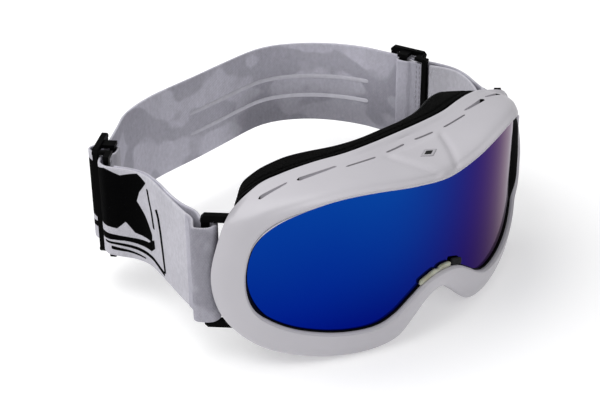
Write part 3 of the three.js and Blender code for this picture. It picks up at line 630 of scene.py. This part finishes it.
of = 0.35 + (-0.95 - 0.35) * tall - 0.8 * lift
gasket = ring("lens_gasket", [
    off(LA, NA, -0.06 + 0.36 * tall, of), off(LA, NA, -0.06 + 0.14 * tall, of + 0.25 * tall), off(LA, NA, -0.06, np.maximum(of + 0.1, -0.35)), off(LA, NA, -0.06, 0.95),
    off(LA, NA, -0.36, 0.95), off(LA, NA, -0.30, 0.7), off(LA, NA, -0.28, np.maximum(of + 0.12, -0.25)), off(LA, NA, -0.24 + 0.1 * tall, of + 0.2 * tall), off(LA, NA, -0.18 + 0.28 * tall, of - 0.05)], 60)
put(gasket, "goggles", "dark_frame", RUBBER)


def lens(name, grow, o0, o1, mats, edge=0.25):
    L = off(LA, NA, grow, 0)[:NH + 1]
    mi = int(np.argmax(L[:, 0]))
    topc, botc = L[:mi + 1], L[mi:][::-1]
    smax = L[mi, 0]
    t = np.linspace(-1, 1, 181)
    ss = smax * np.sin(t * math.pi / 2 * 0.985) / math.sin(math.pi / 2 * 0.985) * 0.9985
    zt, zb = np.interp(abs(ss), topc[:, 0], topc[:, 1]), np.interp(abs(ss), botc[:, 0], botc[:, 1])
    kk = np.linspace(0, 1, 25)
    front = np.stack([np.repeat(ss[:, None], 25, 1), zb[:, None] + (zt - zb)[:, None] * kk, np.full((181, 25), o0)], -1)
    back = front.copy()
    back[..., 2] = o1
    sect = np.concatenate([front, back[:, ::-1]], 1)      # closed section: up the front, down the back
    ob = grid(name, P3(sect), False, True, caps=True, sharp=40)
    for x in mats:
        ob.data.materials.append(x)
    if len(mats) > 1:
        idx = []
        for p in ob.data.polygons:
            r = [v % 50 for v in p.vertices]
            idx.append(0 if max(r) < 25 else 1)
        ob.data.polygons.foreach_set("material_index", idx)
    return ob


lo = lens("lens_outer_skin", 1.0, 1.0, 2.2, [LENS, SMOKE])
put(lo, "goggles", "mirror_lens", nodes=["lens_outer"])
li = lens("lens_inner_skin", 1.0, 4.05, 4.4, [CLEAR])
put(li, "goggles", "clear_lens", nodes=["lens_inner"])
sp = ring("lens_spacer_skin", [off(LA, NA, 1.0, 2.55), off(LA, NA, 1.0, 3.7), off(LA, NA, -2.0, 3.7), off(LA, NA, -2.25, 3.4), off(LA, NA, -2.25, 2.85), off(LA, NA, -2.0, 2.55)], 40)
put(sp, "goggles", "foam", FOAM, nodes=["lens_spacer"])

wall_o = step_o + 0.45
ch = [
    off(LA, NA, 0.2, wall_o), off(LA, NA, 1.7, wall_o),
    off(LF, NF, -3.6, LF[:, 2] - 0.3), off(LF, NF, -0.35, LF[:, 2] + 0.05), off(LF, NF, 0, LF[:, 2] + 0.35),
    off(LF, NF, 0, LF[:, 2] + 1.35), off(LF, NF, -0.3, LF[:, 2] + 1.6),
    inset(LF, NF, -7.8, 1.6), inset(LF, NF, -8, 1.4), inset(LF, NF, -8, 0.6), inset(LF, NF, -7.8, 0.42),
    off(LF, NF, -5.6, LF[:, 2] + 0.05), off(LF, NF, -5.05, LF[:, 2] - 0.35)]
chamber = ring("inner_frame_skin", ch, 32, bend=[-2, -8, -3, -1, -2, -1, -6, -1, -2, -1, -3, -1, -10])
put(chamber, "goggles", "dark_frame", DARK, nodes=["inner_frame"])

vf = []
for i in range(-11 * SUB // 2, 11 * SUB // 2 + 1):
    k = i % N
    a, b = off(LA, NA, 0.2, 0)[k], off(LF, NF, -5.2, 0)[k]
    oa, ob_ = wall_o[k], LF[k, 2]
    def at(t, d):
        return [a[0] + (b[0] - a[0]) * t, a[1] + (b[1] - a[1]) * t - d, oa + (ob_ - oa) * t]
    vf.append([at(0.25, 0.95), at(0.27, 0.82), at(0.4, 0.8), at(0.7, 0.8), at(0.83, 0.82), at(0.85, 0.95), at(0.85, 1.95), at(0.83, 2.1), at(0.7, 2.12), at(0.4, 2.12), at(0.27, 2.1), at(0.25, 1.95)])
vent = grid("vent_foam_skin", P3(np.array(vf)), False, True, caps=True, sharp=50)
put(vent, "goggles", "vent_foam", VFOAM, nodes=["vent_foam_top"])


temple = 5.0 * smoothstep(12, 66, np.abs(LF[:, 0])) * smoothstep(-26, 6, LF[:, 1])


def deeper(L, e):
    q = L.copy()
    q[:, 2] += e * temple
    return q


# face foam: three soft rings, each rounded and a little uneven
def foam_ring(name, o0, o1, a, b, a2, b2, rnd, lump, mat, slot, node, e0=0.0, e1=0.0):
    F0, F1 = deeper(off(LF, NF, a, LF[:, 2] + o0), e0), deeper(off(LF, NF, a2, LF[:, 2] + o1), e1)
    G1, G0 = deeper(inset(LF, NF, b2, o1), e1), deeper(inset(LF, NF, b, o0), e0)
    c = [F0, F1, G1, G0]
    rows = []
    def lerp(p, q, t):
        return p + (q - p) * t
    for j in range(4):
        p, q = c[j], c[(j + 1) % 4]
        l = np.linalg.norm(q - p, axis=1, keepdims=True)
        r = np.minimum(rnd, l * 0.45) / np.maximum(l, 1e-6)
        m_ = 9 if j in (1, 3) else 4
        pts = [lerp(p, q, r + (1 - 2 * r) * t) for t in np.linspace(0, 1, m_)]
        rows += pts
        nx, ny = c[(j + 1) % 4], c[(j + 2) % 4]
        l2 = np.linalg.norm(ny - nx, axis=1, keepdims=True)
        r2 = np.minimum(rnd, l2 * 0.45) / np.maximum(l2, 1e-6)
        e0, e1 = pts[-1], lerp(nx, ny, r2)
        for t in (0.25, 0.5, 0.75):
            rows.append((1 - t) ** 2 * e0 + 2 * t * (1 - t) * nx + t * t * e1)
    Q = np.stack(rows, 1)
    P = P3(Q)
    cen = P.mean(1, keepdims=True)
    d = P - cen
    d /= np.linalg.norm(d, axis=2, keepdims=True)
    P = P + d * (lump * np.clip(lumps(P, 26.0), -1.2, 1.2) - lump)[..., None]
    ob = grid(name, P, True, True, sharp=60)
    put(ob, "goggles", slot, mat, nodes=[node])
    return ob


foam_ring("face_foam_base_skin", 2.0, 4.2, 0.1, -8.1, 0.0, -8.5, 0.5, 0.05, FOAM, "foam", "face_foam_base")
foam_ring("face_foam_soft_skin", 4.4, 8.45, 0.05, -8.4, -0.9, -8.0, 1.5, 0.12, FOAM, "foam", "face_foam_soft", 0.0, 1.0)
foam_ring("face_fleece_skin", 8.5, 9.6, -0.8, -8.1, -1.6, -7.3, 0.5, 0.08, FLEECE, "fleece", "face_fleece", 1.0, 1.0)

# ------------------------------------------------------------------ strap plan
def loop_frame(sg):
    r, fi = R - LOOP_O, LOOP_S / R
    return {"m": np.array([sg * r * math.sin(fi), R - r * math.cos(fi)]), "u": np.array([sg * math.cos(fi), math.sin(fi)]), "n": np.array([sg * math.sin(fi), -math.cos(fi)])}


def loc(f, a, b):
    return f["m"] + f["u"] * a + f["n"] * b


SLF = {"m": np.array([-77.5, 112.2]), "u": np.array([0.7682, 0.6402]), "n": np.array([-0.6402, 0.7682])}
SRF = {"m": np.array([85.0, 91.8]), "u": np.array([-0.2557, 0.9668]), "n": np.array([0.9668, 0.2557])}
FL, FR = loop_frame(-1), loop_frame(1)


def smooth(pts, step):
    pts = [np.asarray(p, float) for p in pts]
    out = []
    for i in range(len(pts) - 1):
        a, b, c, d = pts[max(0, i - 1)], pts[i], pts[i + 1], pts[min(len(pts) - 1, i + 2)]
        n = max(1, round(np.linalg.norm(c - b) / step))
        out += [catmull(a, b, c, d, k / n) for k in range(n)]
    out.append(pts[-1])
    return out


front_l = smooth([loc(FL, LOOP_HALF + 1.2, HG), loc(FL, LOOP_HALF + 4.4, HG - 0.2), [-81.0, 50], [-79.6, 58], [-77.3, 68], [-75.0, 78], [-73.3, 86.4], [-73.6, 92], [-75.4, 97.2], [-78.2, 101.6], [-80.3, 105.8], [-79.9, 109.4]], 3.2)
front_r = smooth([[86.9, 87.2], [88.6, 80.6], [88.9, 74.5], [87.3, 67.6], [84.4, 60.6], [81.9, 54], [81.1, 49.2], loc(FR, LOOP_HALF + 4.4, HG - 0.2), loc(FR, LOOP_HALF + 1.2, HG)], 3.2)
main_pts = front_l + [loc(SLF, 0.4, 0), loc(SLF, 10, 0), loc(SLF, 20, 0)] \
    + smooth([loc(SLF, 29, 0), [-49, 136.3], [-40, 141.2], [-27, 145.2], [-10, 147.5], [-2, 148.4]], 6) \
    + smooth([[28, 152.9], [38, 153.8], [47, 152.4], [56, 147.9], [64, 141.4], [70.4, 133.6], [75, 125.8], loc(SRF, 29, 0)], 4.5) \
    + [loc(SRF, 20, 0), loc(SRF, 10, 0), loc(SRF, 0.4, 0)] + front_r


def beside(run, sg, gaps):
    run = np.array(run)
    acc = np.concatenate([[0], np.cumsum(np.linalg.norm(np.diff(run, axis=0), axis=1))])
    out = []
    for t, d in gaps:
        want = t * acc[-1]
        i = 1
        while i < len(run) - 1 and acc[i] < want:
            i += 1
        f = (want - acc[i - 1]) / (acc[i] - acc[i - 1])
        a, b = run[max(0, i - 2)], run[min(len(run) - 1, i + 1)]
        dx, dy = b - a
        l = math.hypot(dx, dy)
        p = run[i - 1] + (run[i] - run[i - 1]) * f
        out.append(p + np.array([-sg * dy / l * d, sg * dx / l * d]))
    return out


def turn_pts(f, rest):
    c = LOOP_HALF
    pts = []
    for k in range(25):
        a = math.pi / 2 + math.pi * k / 24
        pts.append(loc(f, c + HG * math.cos(a), HG * math.sin(a)))
    return pts + smooth([loc(f, c + 2.4, -HG)] + rest, 1.0)


NEAR = 1.45
t_l = turn_pts(FL, beside(front_l, -1, [[0.2, 3.9], [0.3, 2.4], [0.4, NEAR], [0.5, NEAR], [0.6, NEAR], [0.7, NEAR], [0.78, NEAR], [0.85, NEAR], [0.9, 1.6]]))
t_r = turn_pts(FR, beside(front_r[::-1], 1, [[0.24, 3.6], [0.36, 2.2], [0.48, NEAR], [0.6, NEAR], [0.72, NEAR], [0.84, 2.2]]) + [loc(SRF, -4.9, -2.9)])


def resample(path, step, soften=0.0):
    path = np.array(path, float)
    keep = np.concatenate([[True], np.linalg.norm(np.diff(path, axis=0), axis=1) > 1e-4])
    path = path[keep]
    acc = np.concatenate([[0], np.cumsum(np.linalg.norm(np.diff(path, axis=0), axis=1))])
    n = int(round(acc[-1] / step))
    t = np.linspace(0, acc[-1], n + 1)
    q = np.stack([np.interp(t, acc, path[:, k]) for k in (0, 1)], 1)
    if soften > 0:
        w = int(3 * soften / step)
        ker = np.exp(-0.5 * (np.arange(-w, w + 1) * step / soften) ** 2)
        ker /= ker.sum()
        ext = np.concatenate([2 * q[:1] - q[1:w + 1][::-1], q, 2 * q[-1:] - q[-w - 1:-1][::-1]])
        q = np.stack([np.convolve(ext[:, k], ker, "valid") for k in (0, 1)], 1)
    return q


def seg_sdf(p, poly):
    """Signed distance (mm, positive inside) to a polygon."""
    poly = np.asarray(poly, float)
    d = np.full(p.shape[:-1], 1e9)
    inside = np.zeros(p.shape[:-1], bool)
    for i in range(len(poly)):
        a, b = poly[i], poly[(i + 1) % len(poly)]
        ab = b - a
        t = np.clip(((p - a) @ ab) / max(1e-9, ab @ ab), 0, 1)
        d = np.minimum(d, np.linalg.norm(p - (a + t[..., None] * ab), axis=-1))
        cond = (a[1] > p[..., 1]) != (b[1] > p[..., 1])
        with np.errstate(divide="ignore", invalid="ignore"):
            x = a[0] + (p[..., 1] - a[1]) / (b[1] - a[1] + 1e-12) * ab[0]
        inside ^= cond & (p[..., 0] < x)
    return np.where(inside, d, -d)


def stroke(pts, w0, w1):
    """Tapered stroke as a polygon."""
    pts = np.asarray(pts, float)
    n = len(pts)
    d = np.gradient(pts, axis=0)
    d /= np.linalg.norm(d, axis=1, keepdims=True)
    nr = np.stack([-d[:, 1], d[:, 0]], 1)
    w = np.linspace(w0, w1, n)[:, None] / 2
    return np.concatenate([pts + nr * w, (pts - nr * w)[::-1]])


# abstract shards, in mm: x from the slider towards the loop, y down from the top edge
SHARDS = [
    [[-12, 2.6], [-3, 4.4], [5.5, 1.8], [12, 4.0], [20.0, 1.6], [25.0, 4.2], [20.6, 9.6], [19.0, 14.0], [23.4, 19.2], [27.6, 26.0], [27.2, 29.6], [17.0, 28.8], [13.0, 24.6], [9.2, 28.2], [0.5, 27.6], [-5, 29.8], [-12, 27.4]],
    [[-12, 31.6], [2, 30.9], [15, 31.4], [24.6, 30.6], [29.2, 27.4], [29.6, 31.2], [26.2, 34.0], [12, 33.4], [0, 34.2], [-12, 33.6]],
    stroke([[25.6, 6.4], [26.6, 11.0], [28.2, 16.0], [29.4, 22.5]], 1.3, 1.7),
    stroke([[32.6, 12.2], [34.2, 15.0], [35.6, 21.0], [36.8, 29.0], [38.0, 38.0]], 2.5, 1.8),
    stroke([[3.0, 35.2], [10, 35.2], [18, 35.8], [28, 37.0], [37.6, 38.8]], 1.0, 2.0),
    stroke([[6.0, 37.4], [13.0, 37.8], [22.0, 39.0]], 1.7, 0.7),
]
BACK_SHARDS = [
    [[0, 4], [12, 7], [22, 3.4], [34, 9.5], [28, 15], [37, 21], [24, 25.5], [14, 21], [5, 26], [8, 16]],
    [[18, 30], [33, 27.4], [48, 31.8], [36, 34.4], [22, 33.4]],
    stroke([[40, 6], [52, 9], [66, 8], [78, 12]], 1.8, 0.4),
    stroke([[44, 36], [60, 33.5], [74, 35]], 0.5, 1.4),
    [[56, 14], [68, 17.5], [80, 15], [74, 22], [84, 27.5], [68, 26], [60, 30], [62, 22]],
]


def ink_at(p, shapes):
    d = np.full(p.shape[:-1], -1.5)
    for sh in shapes:
        d = np.maximum(d, seg_sdf(p, sh))
    return np.clip(d, -1.5, 1.5)


def ribbon(name, q, z0, z1, t, kz, attrs=True, tilt=None, ink=None, ghost=None, puff=0.12, v0=0.0, narrow=None, fold=None):
    """Webbing along the plan path q (outer face on its left), with rounded selvedges."""
    d = np.gradient(q, axis=0)
    d /= np.linalg.norm(d, axis=1, keepdims=True)
    nl = np.stack([-d[:, 1], d[:, 0]], 1)
    acc = np.concatenate([[0], np.cumsum(np.linalg.norm(np.diff(q, axis=0), axis=1))])
    h = t / 2
    zz = np.linspace(z0 + h * 0.8, z1 - h * 0.8, kz)
    sect = [(h, z, 1.0) for z in zz]
    for a in (55, 25, 0, -25, -55):
        sect.append((h * math.sin(math.radians(a)), z1 - h * 0.8 + h * 0.8 * math.cos(math.radians(a)), math.sin(math.radians(a))))
    sect += [(-h, z, -1.0) for z in zz[::-1]]
    for a in (-55, -25, 0, 25, 55):
        sect.append((h * math.sin(math.radians(a)), z0 + h * 0.8 - h * 0.8 * math.cos(math.radians(a)), math.sin(math.radians(a))))
    S = np.array(sect)
    n, m = len(q), len(S)
    P = np.zeros((n, m, 3))
    dn = np.repeat(S[None, :, 0], n, 0)
    zc = (z0 + z1) / 2
    zrel = (S[:, 1] - zc) / ((z1 - z0) / 2)
    squeeze = np.ones(n) if narrow is None else narrow(acc)
    if tilt is not None:
        dn = dn + tilt(acc)[:, None] * zrel[None, :]
    fo = np.zeros(n) if fold is None else fold(acc)
    dn = dn + fo[:, None] * 0.45 * np.clip(S[None, :, 2], 0, 1)
    P[..., :2] = q[:, None, :] + nl[:, None, :] * dn[..., None]
    P[..., 2] = zc + (S[None, :, 1] - zc) * squeeze[:, None]
    at = {"side": (np.repeat(S[None, :, 2], n, 0) * (1 - 1.6 * fo[:, None])).ravel()}
    uv = np.stack([np.repeat(acc[:, None], m, 1), z1 - np.repeat(S[None, :, 1], n, 0)], -1)
    at["ink"] = (np.where(S[None, :, 2] > 0.3, ink(uv), -1.5) if ink else np.full((n, m), -1.5)).ravel()
    at["ghost"] = (ghost(uv) if ghost else np.zeros((n, m))).ravel()
    faces, uvs = [], []
    vv = S[:, 1] - z0
    for i in range(n - 1):
        for j in range(m):
            j2 = (j + 1) % m
            for (a, b) in ((i, j), (i + 1, j), (i + 1, j2), (i, j2)):
                faces.append(a * m + b)
                uvs.append((acc[a] * 0.001 + v0, vv[b] * 0.001))
    fs = [faces[k:k + 4] for k in range(0, len(faces), 4)]
    for e, rev in ((0, True), (n - 1, False)):
        r = [e * m + j for j in range(m)]
        fs.append(r[::-1] if rev else r)
        uvs += [(0.0, 0.0)] * m
    ob = add_mesh(name, P.reshape(-1, 3), fs, uvs, at, 60)
    out_check(ob)
    return ob


# one continuous strip: return layer, turn, outer layer, round the back, and the same on the right
lead = [p for p in t_l[::-1]]
tail = [p for p in t_r]
whole = lead + main_pts + tail
STEP = 0.5
web = resample(whole, STEP, 0.9)
acc_w = np.concatenate([[0], np.cumsum(np.linalg.norm(np.diff(web, axis=0), axis=1))])
def where(p):
    return float(acc_w[int(np.argmin(np.linalg.norm(web - np.asarray(p), axis=1)))])
# arc positions, searched on the outer layer only
half_i = int(len(web) * 0.5)
def arc_of(p, lo_t, hi_t):
    m = (acc_w >= lo_t) & (acc_w <= hi_t)
    i = np.where(m)[0]
    return float(acc_w[i[np.argmin(np.linalg.norm(web[i] - np.asarray(p), axis=1))]])
len_lead = float(sum(np.linalg.norm(np.diff(np.array(lead), axis=0), axis=1)))
TOT = acc_w[-1]
len_tail = float(sum(np.linalg.norm(np.diff(np.array(tail), axis=0), axis=1)))
uSL = arc_of(loc(SLF, 1.5, 0), len_lead, TOT * 0.6)
uSR = arc_of(loc(SRF, 1.5, 0), TOT * 0.5, TOT - len_tail)


def main_ink(uv):
    out = np.full(uv.shape[:-1], -1.5)
    a = uv.copy()
    a[..., 0] = (uSL - 3.4) - uv[..., 0]          # left front run
    a[..., 1] = uv[..., 1] + 1.2
    out = np.maximum(out, ink_at(a, SHARDS))
    b = uv.copy()
    b[..., 0] = uv[..., 0] - (uSR + 3.4)          # right front run
    b[..., 1] = uv[..., 1] + 1.2
    out = np.maximum(out, ink_at(b, SHARDS))
    c = uv.copy()
    c[..., 0] = uv[..., 0] - (uSL + 24)
    out = np.maximum(out, ink_at(c, BACK_SHARDS))
    e = uv.copy()
    e[..., 0] = (uSR - 22) - uv[..., 0]
    e[..., 1] = 40 - e[..., 1]
    return np.maximum(out, ink_at(e, BACK_SHARDS))


def ghost_f(uv):
    p = np.stack([uv[..., 0], uv[..., 1] * 1.1, uv[..., 0] * 0.3], -1)
    g = lumps(p, 30.0) + 0.5 * lumps(p + 40, 13.0)
    return g * 0.35


def tilt_f(acc):
    # the lower edge stands out a little on the right of the back, none where the sliders and loops are
    g = np.exp(-0.5 * ((acc - (uSR - 62)) / 20.0) ** 2)
    return -1.3 * g


def narrow_f(acc):
    inner = 1 - smoothstep(len_lead - 16, len_lead - 8, acc) + smoothstep(TOT - len_tail + 8, TOT - len_tail + 16, acc)
    return 1 - 0.006 * inner


def fold_f(acc):
    """1 where the end is folded back over the loop's bar with its inner face out."""
    a = smoothstep(len_lead - 9, len_lead - 8, acc) * (1 - smoothstep(len_lead + 13.6, len_lead + 14.8, acc))
    b = smoothstep(TOT - len_tail - 14.8, TOT - len_tail - 13.6, acc) * (1 - smoothstep(TOT - len_tail + 8, TOT - len_tail + 9, acc))
    return a + b


strap = ribbon("strap_webbing", web, ZS0, ZS1, STRAP_T, 81, tilt=tilt_f, ink=main_ink, ghost=ghost_f, narrow=narrow_f, fold=fold_f)
put(strap, "goggles", "webbing", WEB, nodes=["strap_main", "strap_turn_left", "strap_turn_right"])

# the arch of webbing that stands up between a slider's bars, and its sewn end round the middle bar
def arch(f, name, body, mirror):
    a = np.linspace(0, 1, 46)
    prof = np.sin(a * math.pi) ** 0.8
    u = 3.7 + (13.3 - 3.7) * a
    q = np.stack([loc(f, uu, 1.1 + 5.4 * pp) for uu, pp in zip(u, prof)])
    q = resample(q, 0.35, 0.4)
    if mirror:
        def ink(uv):
            w = uv.copy()
            w[..., 0] = uv[..., 0] - 10
            return ink_at(w, SHARDS)
    else:
        def ink(uv):
            w = uv.copy()
            w[..., 0] = -3.0 - uv[..., 0] * 0.8
            return ink_at(w, SHARDS)
    ob = ribbon(name, q, ZS0 + 0.15, ZS1 - 0.15, 0.9, 70, ink=ink)
    put(ob, body, "webbing", WEB)
    return ob


def sewn(f, name, body, node):
    bu, bn, hu, hn, t = 8.5, -3.3, 1.5 + 0.35, 1.0 + 0.35, 0.9
    ou, on, r = hu + t / 2, hn + t / 2, 1.1
    pts = [loc(f, bu - 9.9, bn + 0.55), loc(f, bu - 7.0, bn + 0.56), loc(f, bu - 4.6, bn + 0.75), loc(f, bu - 3.4, bn + on - 0.25), loc(f, bu - 2.2, bn + on)]
    for cx, cy, a0 in ((ou - r, on - r, 90), (ou - r, -on + r, 0)):
        for k in range(7):
            a = math.radians(a0 - 90 * k / 6)
            pts.append(loc(f, bu + cx + r * math.cos(a), bn + cy + r * math.sin(a)))
    pts += [loc(f, bu - 2.2, bn - on), loc(f, bu - 3.4, bn - on + 0.25), loc(f, bu - 4.6, bn - 0.75), loc(f, bu - 7.0, bn - 0.56), loc(f, bu - 9.9, bn - 0.55)]
    q = resample(smooth(pts, 0.4), 0.3, 0.25)
    ob = ribbon(name, q, ZS0, ZS1, 0.9, 60)
    put(ob, body, "webbing", WEB2, nodes=[node])
    return ob


arch(SLF, "webbing_arch_left", "adjuster_left", False)
arch(SRF, "webbing_arch_right", "adjuster_right", True)
sewn(SLF, "sewn_end_left", "adjuster_left", "strap_end_left")
sewn(SRF, "sewn_end_right", "adjuster_right", "strap_end_right")


def stitches(f, name, body):
    parts = []
    ang = np.linspace(0, 2 * math.pi, 9)[:-1]
    for ucol in (-0.6, 1.0):
        for z in np.arange(ZS0 + 2.0, ZS1 - 1.4, 2.4):
            for side in (-1, 1):
                v, fc = [], []
                for i, t in enumerate(np.linspace(-1, 1, 7)):
                    rr = 0.24 * math.sqrt(max(0.02, 1 - t * t))
                    for a in ang:
                        p = loc(f, ucol + rr * math.cos(a), -3.3 + side * (1.0 + 0.05) + 0.8 * rr * math.sin(a))
                        v.append([p[0], p[1], z + 0.85 * t])
                for i in range(6):
                    for j in range(8):
                        fc.append([i * 8 + j, i * 8 + (j + 1) % 8, (i + 1) * 8 + (j + 1) % 8, (i + 1) * 8 + j])
                fc.append(list(range(8))[::-1])
                fc.append([48 + j for j in range(8)])
                parts.append((v, fc))
    ob = join(name, parts)
    put(ob, body, "webbing", THREAD)
    return ob


stitches(SLF, "stitch_rows_left", "adjuster_left")
stitches(SRF, "stitch_rows_right", "adjuster_right")

# silicone lines on the inner face of the back run
def grip(name, zc, node):
    m = (acc_w > uSL + 24) & (acc_w < uSR - 26) & ((web[:, 1] > 139.0) | ((web[:, 0] > 0) & (web[:, 1] > 116.0)))
    q = web[m]
    d = np.gradient(q, axis=0)
    d /= np.linalg.norm(d, axis=1, keepdims=True)
    nl = np.stack([-d[:, 1], d[:, 0]], 1)
    aw = acc_w[m]
    tl = tilt_f(aw) * (zc / 20.0)
    n = len(q)
    k = 13
    a = np.linspace(-90, 90, k)
    wave = 0.0 * aw
    end = np.minimum(1, np.minimum(np.arange(n), np.arange(n)[::-1]) * STEP / 1.2)
    P = np.zeros((n, k + 1, 3))
    # worn down flush with the weave on the left
    proud = 0.12 + 0.30 * smoothstep(-24, 14, q[:, 0])
    worn = 0.35 * (1 - smoothstep(-22, 16, q[:, 0]))
    for j in range(k):
        ca, sa = math.cos(math.radians(a[j])), math.sin(math.radians(a[j]))
        depth = 0.55 - worn + proud * (ca ** 0.6 if ca > 1e-6 else 0) * end
        P[:, j, :2] = q + nl * (tl - depth)[:, None]
        P[:, j, 2] = zc + 1.0 * sa * np.sqrt(end) + wave
    P[:, k, :2] = q + nl * (tl - 0.5 + worn)[:, None]
    P[:, k, 2] = zc
    ob = grid(name, P, False, True, caps=True, sharp=60)
    put(ob, "goggles", "grip", GRIP, nodes=[node])


grip("grip_line_upper_skin", 3.2, "grip_line_upper")
grip("grip_line_lower_skin", -6.8, "grip_line_lower")


# ------------------------------------------------------------------ hardware: fine edges on the moulded pieces
def dress(node, mat, width, angle=28):
    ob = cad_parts[node]
    de = ob.modifiers.new("plane_faces", "DECIMATE")
    de.decimate_type = "DISSOLVE"
    de.angle_limit = math.radians(2)
    be = ob.modifiers.new("soft_edges", "BEVEL")
    be.width, be.segments, be.limit_method, be.angle_limit = width, 3, "ANGLE", math.radians(angle)
    be.harden_normals = False
    we = ob.modifiers.new("even_normals", "WEIGHTED_NORMAL")
    we.keep_sharp = False
    ob.data.shade_smooth()
    ob.data.materials.clear()
    ob.data.materials.append(mat)


for nd in ("strap_loop_left", "strap_loop_right"):
    dress(nd, BLACK, 0.0007)
for nd in ("slider_left", "slider_right"):
    dress(nd, BLACK, 0.0008)


def sleeve(f, name, node):
    k, zc = 48, (ZS0 + ZS1) / 2
    prof = [(1.66, zc - 9.0), (2.2, zc - 9.0), (2.42, zc - 8.9), (2.48, zc - 8.65), (2.48, zc + 8.65), (2.42, zc + 8.9), (2.2, zc + 9.0), (1.66, zc + 9.0)]
    P = np.zeros((k, len(prof), 3))
    for i in range(k):
        a = 2 * math.pi * i / k
        for j, (r, z) in enumerate(prof):
            P[i, j, :2] = loc(f, -LOOP_HALF + r * math.cos(a), r * math.sin(a))
            P[i, j, 2] = z
    ob = grid(name, P, True, True, sharp=35)
    put(ob, "goggles", "dark_frame", DARK, nodes=[node])


sleeve(FL, "hinge_sleeve_left_skin", "hinge_sleeve_left")
sleeve(FR, "hinge_sleeve_right_skin", "hinge_sleeve_right")

# nose clip: rounded strip over the arch with a notch, and beside it a dark block that is painted shade, standing for
# the clip's right-hand part lying in shadow
def clip_strip(name, s0, s1, o0, o1, z_lo, z_hi, notch, nodes=(), mat=None, n=60):
    rows = []
    for i in range(n + 1):
        s = s0 + (s1 - s0) * i / n
        base = -13.1 - 0.0275 * s * s + 0.000045 * s ** 4
        e = min(i, n - i) / n * abs(s1 - s0)
        k = math.sqrt(max(0.05, 1 - max(0.0, 1 - e / 0.8) ** 2)) if e < 0.8 else 1.0
        hi = z_hi - (0.9 * math.exp(-((s + 2.75) / 0.9) ** 2) if notch else 0.0)
        zm, hz = (z_lo + hi) / 2, (hi - z_lo) / 2 * k
        om, ho = (o0 + o1) / 2, (o1 - o0) / 2 * (0.5 + 0.5 * k)
        sec = []
        for a in np.linspace(0, 360, 21)[:-1]:
            ca, sa = math.cos(math.radians(a)), math.sin(math.radians(a))
            sec.append([s, base + zm + hz * math.copysign(abs(sa) ** 0.55, sa), om + ho * math.copysign(abs(ca) ** 0.55, ca)])
        rows.append(sec)
    ob = grid(name, P3(np.array(rows)), False, True, caps=True, sharp=50)
    put(ob, "goggles", "clip", mat or CLIP, nodes=nodes)


clip_strip("nose_clip_skin", -12, 4.6, -0.45, 0.75, 0.15, 2.3, True, ["nose_clip"])
clip_strip("nose_clip_block", 4.9, 11.6, -0.3, 0.8, 0.2, 3.4, False, mat=SHADE_BLOCK, n=30)

# badge: low lozenge with a raised rim
def badge():
    o0 = 9.6
    base = lambda o: 31.2 + (34.3 - 31.2) * (o - 3.5) / (19.4 - 3.5)
    a, b = 4.4, 2.2
    rings = [(1.0, 0.55), (1.0, 1.15), (0.97, 1.33), (0.92, 1.42), (0.86, 1.42), (0.83, 1.3), (0.55, 1.3), (0.52, 1.38), (0.46, 1.38), (0.43, 1.3)]
    pts = []
    k = 40
    for i in range(k):
        th = 2 * math.pi * i / k
        c, s = math.cos(th), math.sin(th)
        d = 1.0 / (abs(c) + abs(s)) ** 0.94
        pts.append((c * d, s * d))
    P = np.zeros((len(rings), k, 3))
    for i, (sc, h) in enumerate(rings):
        for j, (x, y) in enumerate(pts):
            o = o0 + b * y * sc
            P[i, j] = [a * x * sc, o, base(o) + h - 0.12]
    ob = grid("brow_badge_skin", P, False, True, caps=True, sharp=35)
    for x in (PEARL2, GLOSS):
        ob.data.materials.append(x)
    idx = [1 if min(v // k for v in p.vertices) >= 6 else 0 for p in ob.data.polygons]
    ob.data.polygons.foreach_set("material_index", idx)
    put(ob, "goggles", "badge", nodes=["brow_badge"])


badge()

# ------------------------------------------------------------------ floor, light, camera
bpy.ops.mesh.primitive_plane_add(size=6, location=(0, 0, -0.0004))
floor = bpy.context.object
floor.name = "floor"
fm = Mat("studio_floor", (0.85, 0.85, 0.855), 0.95, Specular_IOR_Level=0.0)
fm.b.inputs["Emission Color"].default_value = (1, 1, 1, 1)
fm.b.inputs["Emission Strength"].default_value = 0.3
floor.data.materials.append(fm.m)

world = bpy.data.worlds.new("studio")
bpy.context.scene.world = world
world.use_nodes = True
world.node_tree.nodes["Background"].inputs[0].default_value = (1.0, 1.0, 1.0, 1)
world.node_tree.nodes["Background"].inputs[1].default_value = 0.33


def area(name, at, target, size, power, color=(1, 1, 1)):
    li_ = bpy.data.lights.new(name, "AREA")
    li_.shape, li_.size, li_.size_y = "RECTANGLE", size[0], size[1]
    li_.energy, li_.color = power, color
    ob = bpy.data.objects.new(name, li_)
    ob.location = at
    ob.rotation_euler = (Vector(target) - Vector(at)).to_track_quat("-Z", "Y").to_euler()
    bpy.context.scene.collection.objects.link(ob)


area("key", (-0.46, 0.30, 1.08), (0, 0, 0.03), (1.3, 1.3), 14.5)
area("front", (0.15, -0.9, 0.8), (0, 0, 0.03), (0.8, 0.5), 1.6)

cam_d = bpy.data.cameras.new("camera")
cam = bpy.data.objects.new("camera", cam_d)
bpy.context.scene.collection.objects.link(cam)
cam_d.sensor_width, cam_d.lens = 36.0, 84.634
cam_d.clip_start, cam_d.clip_end = 0.01, 50
right, up, fw = Vector((0.7391, -0.6736, -0.0065)), Vector((0.3294, 0.3529, 0.8758)), Vector((0.5876, 0.6494, -0.4827))
pos = Vector(row([-349.50, -305.14, 271.61]))
cam.matrix_world = Matrix(((right.x, up.x, -fw.x, pos.x), (right.y, up.y, -fw.y, pos.y), (right.z, up.z, -fw.z, pos.z), (0, 0, 0, 1)))
bpy.context.scene.camera = cam
bpy.context.scene.view_settings.view_transform = "Standard"
bpy.context.scene.view_settings.look = "None"
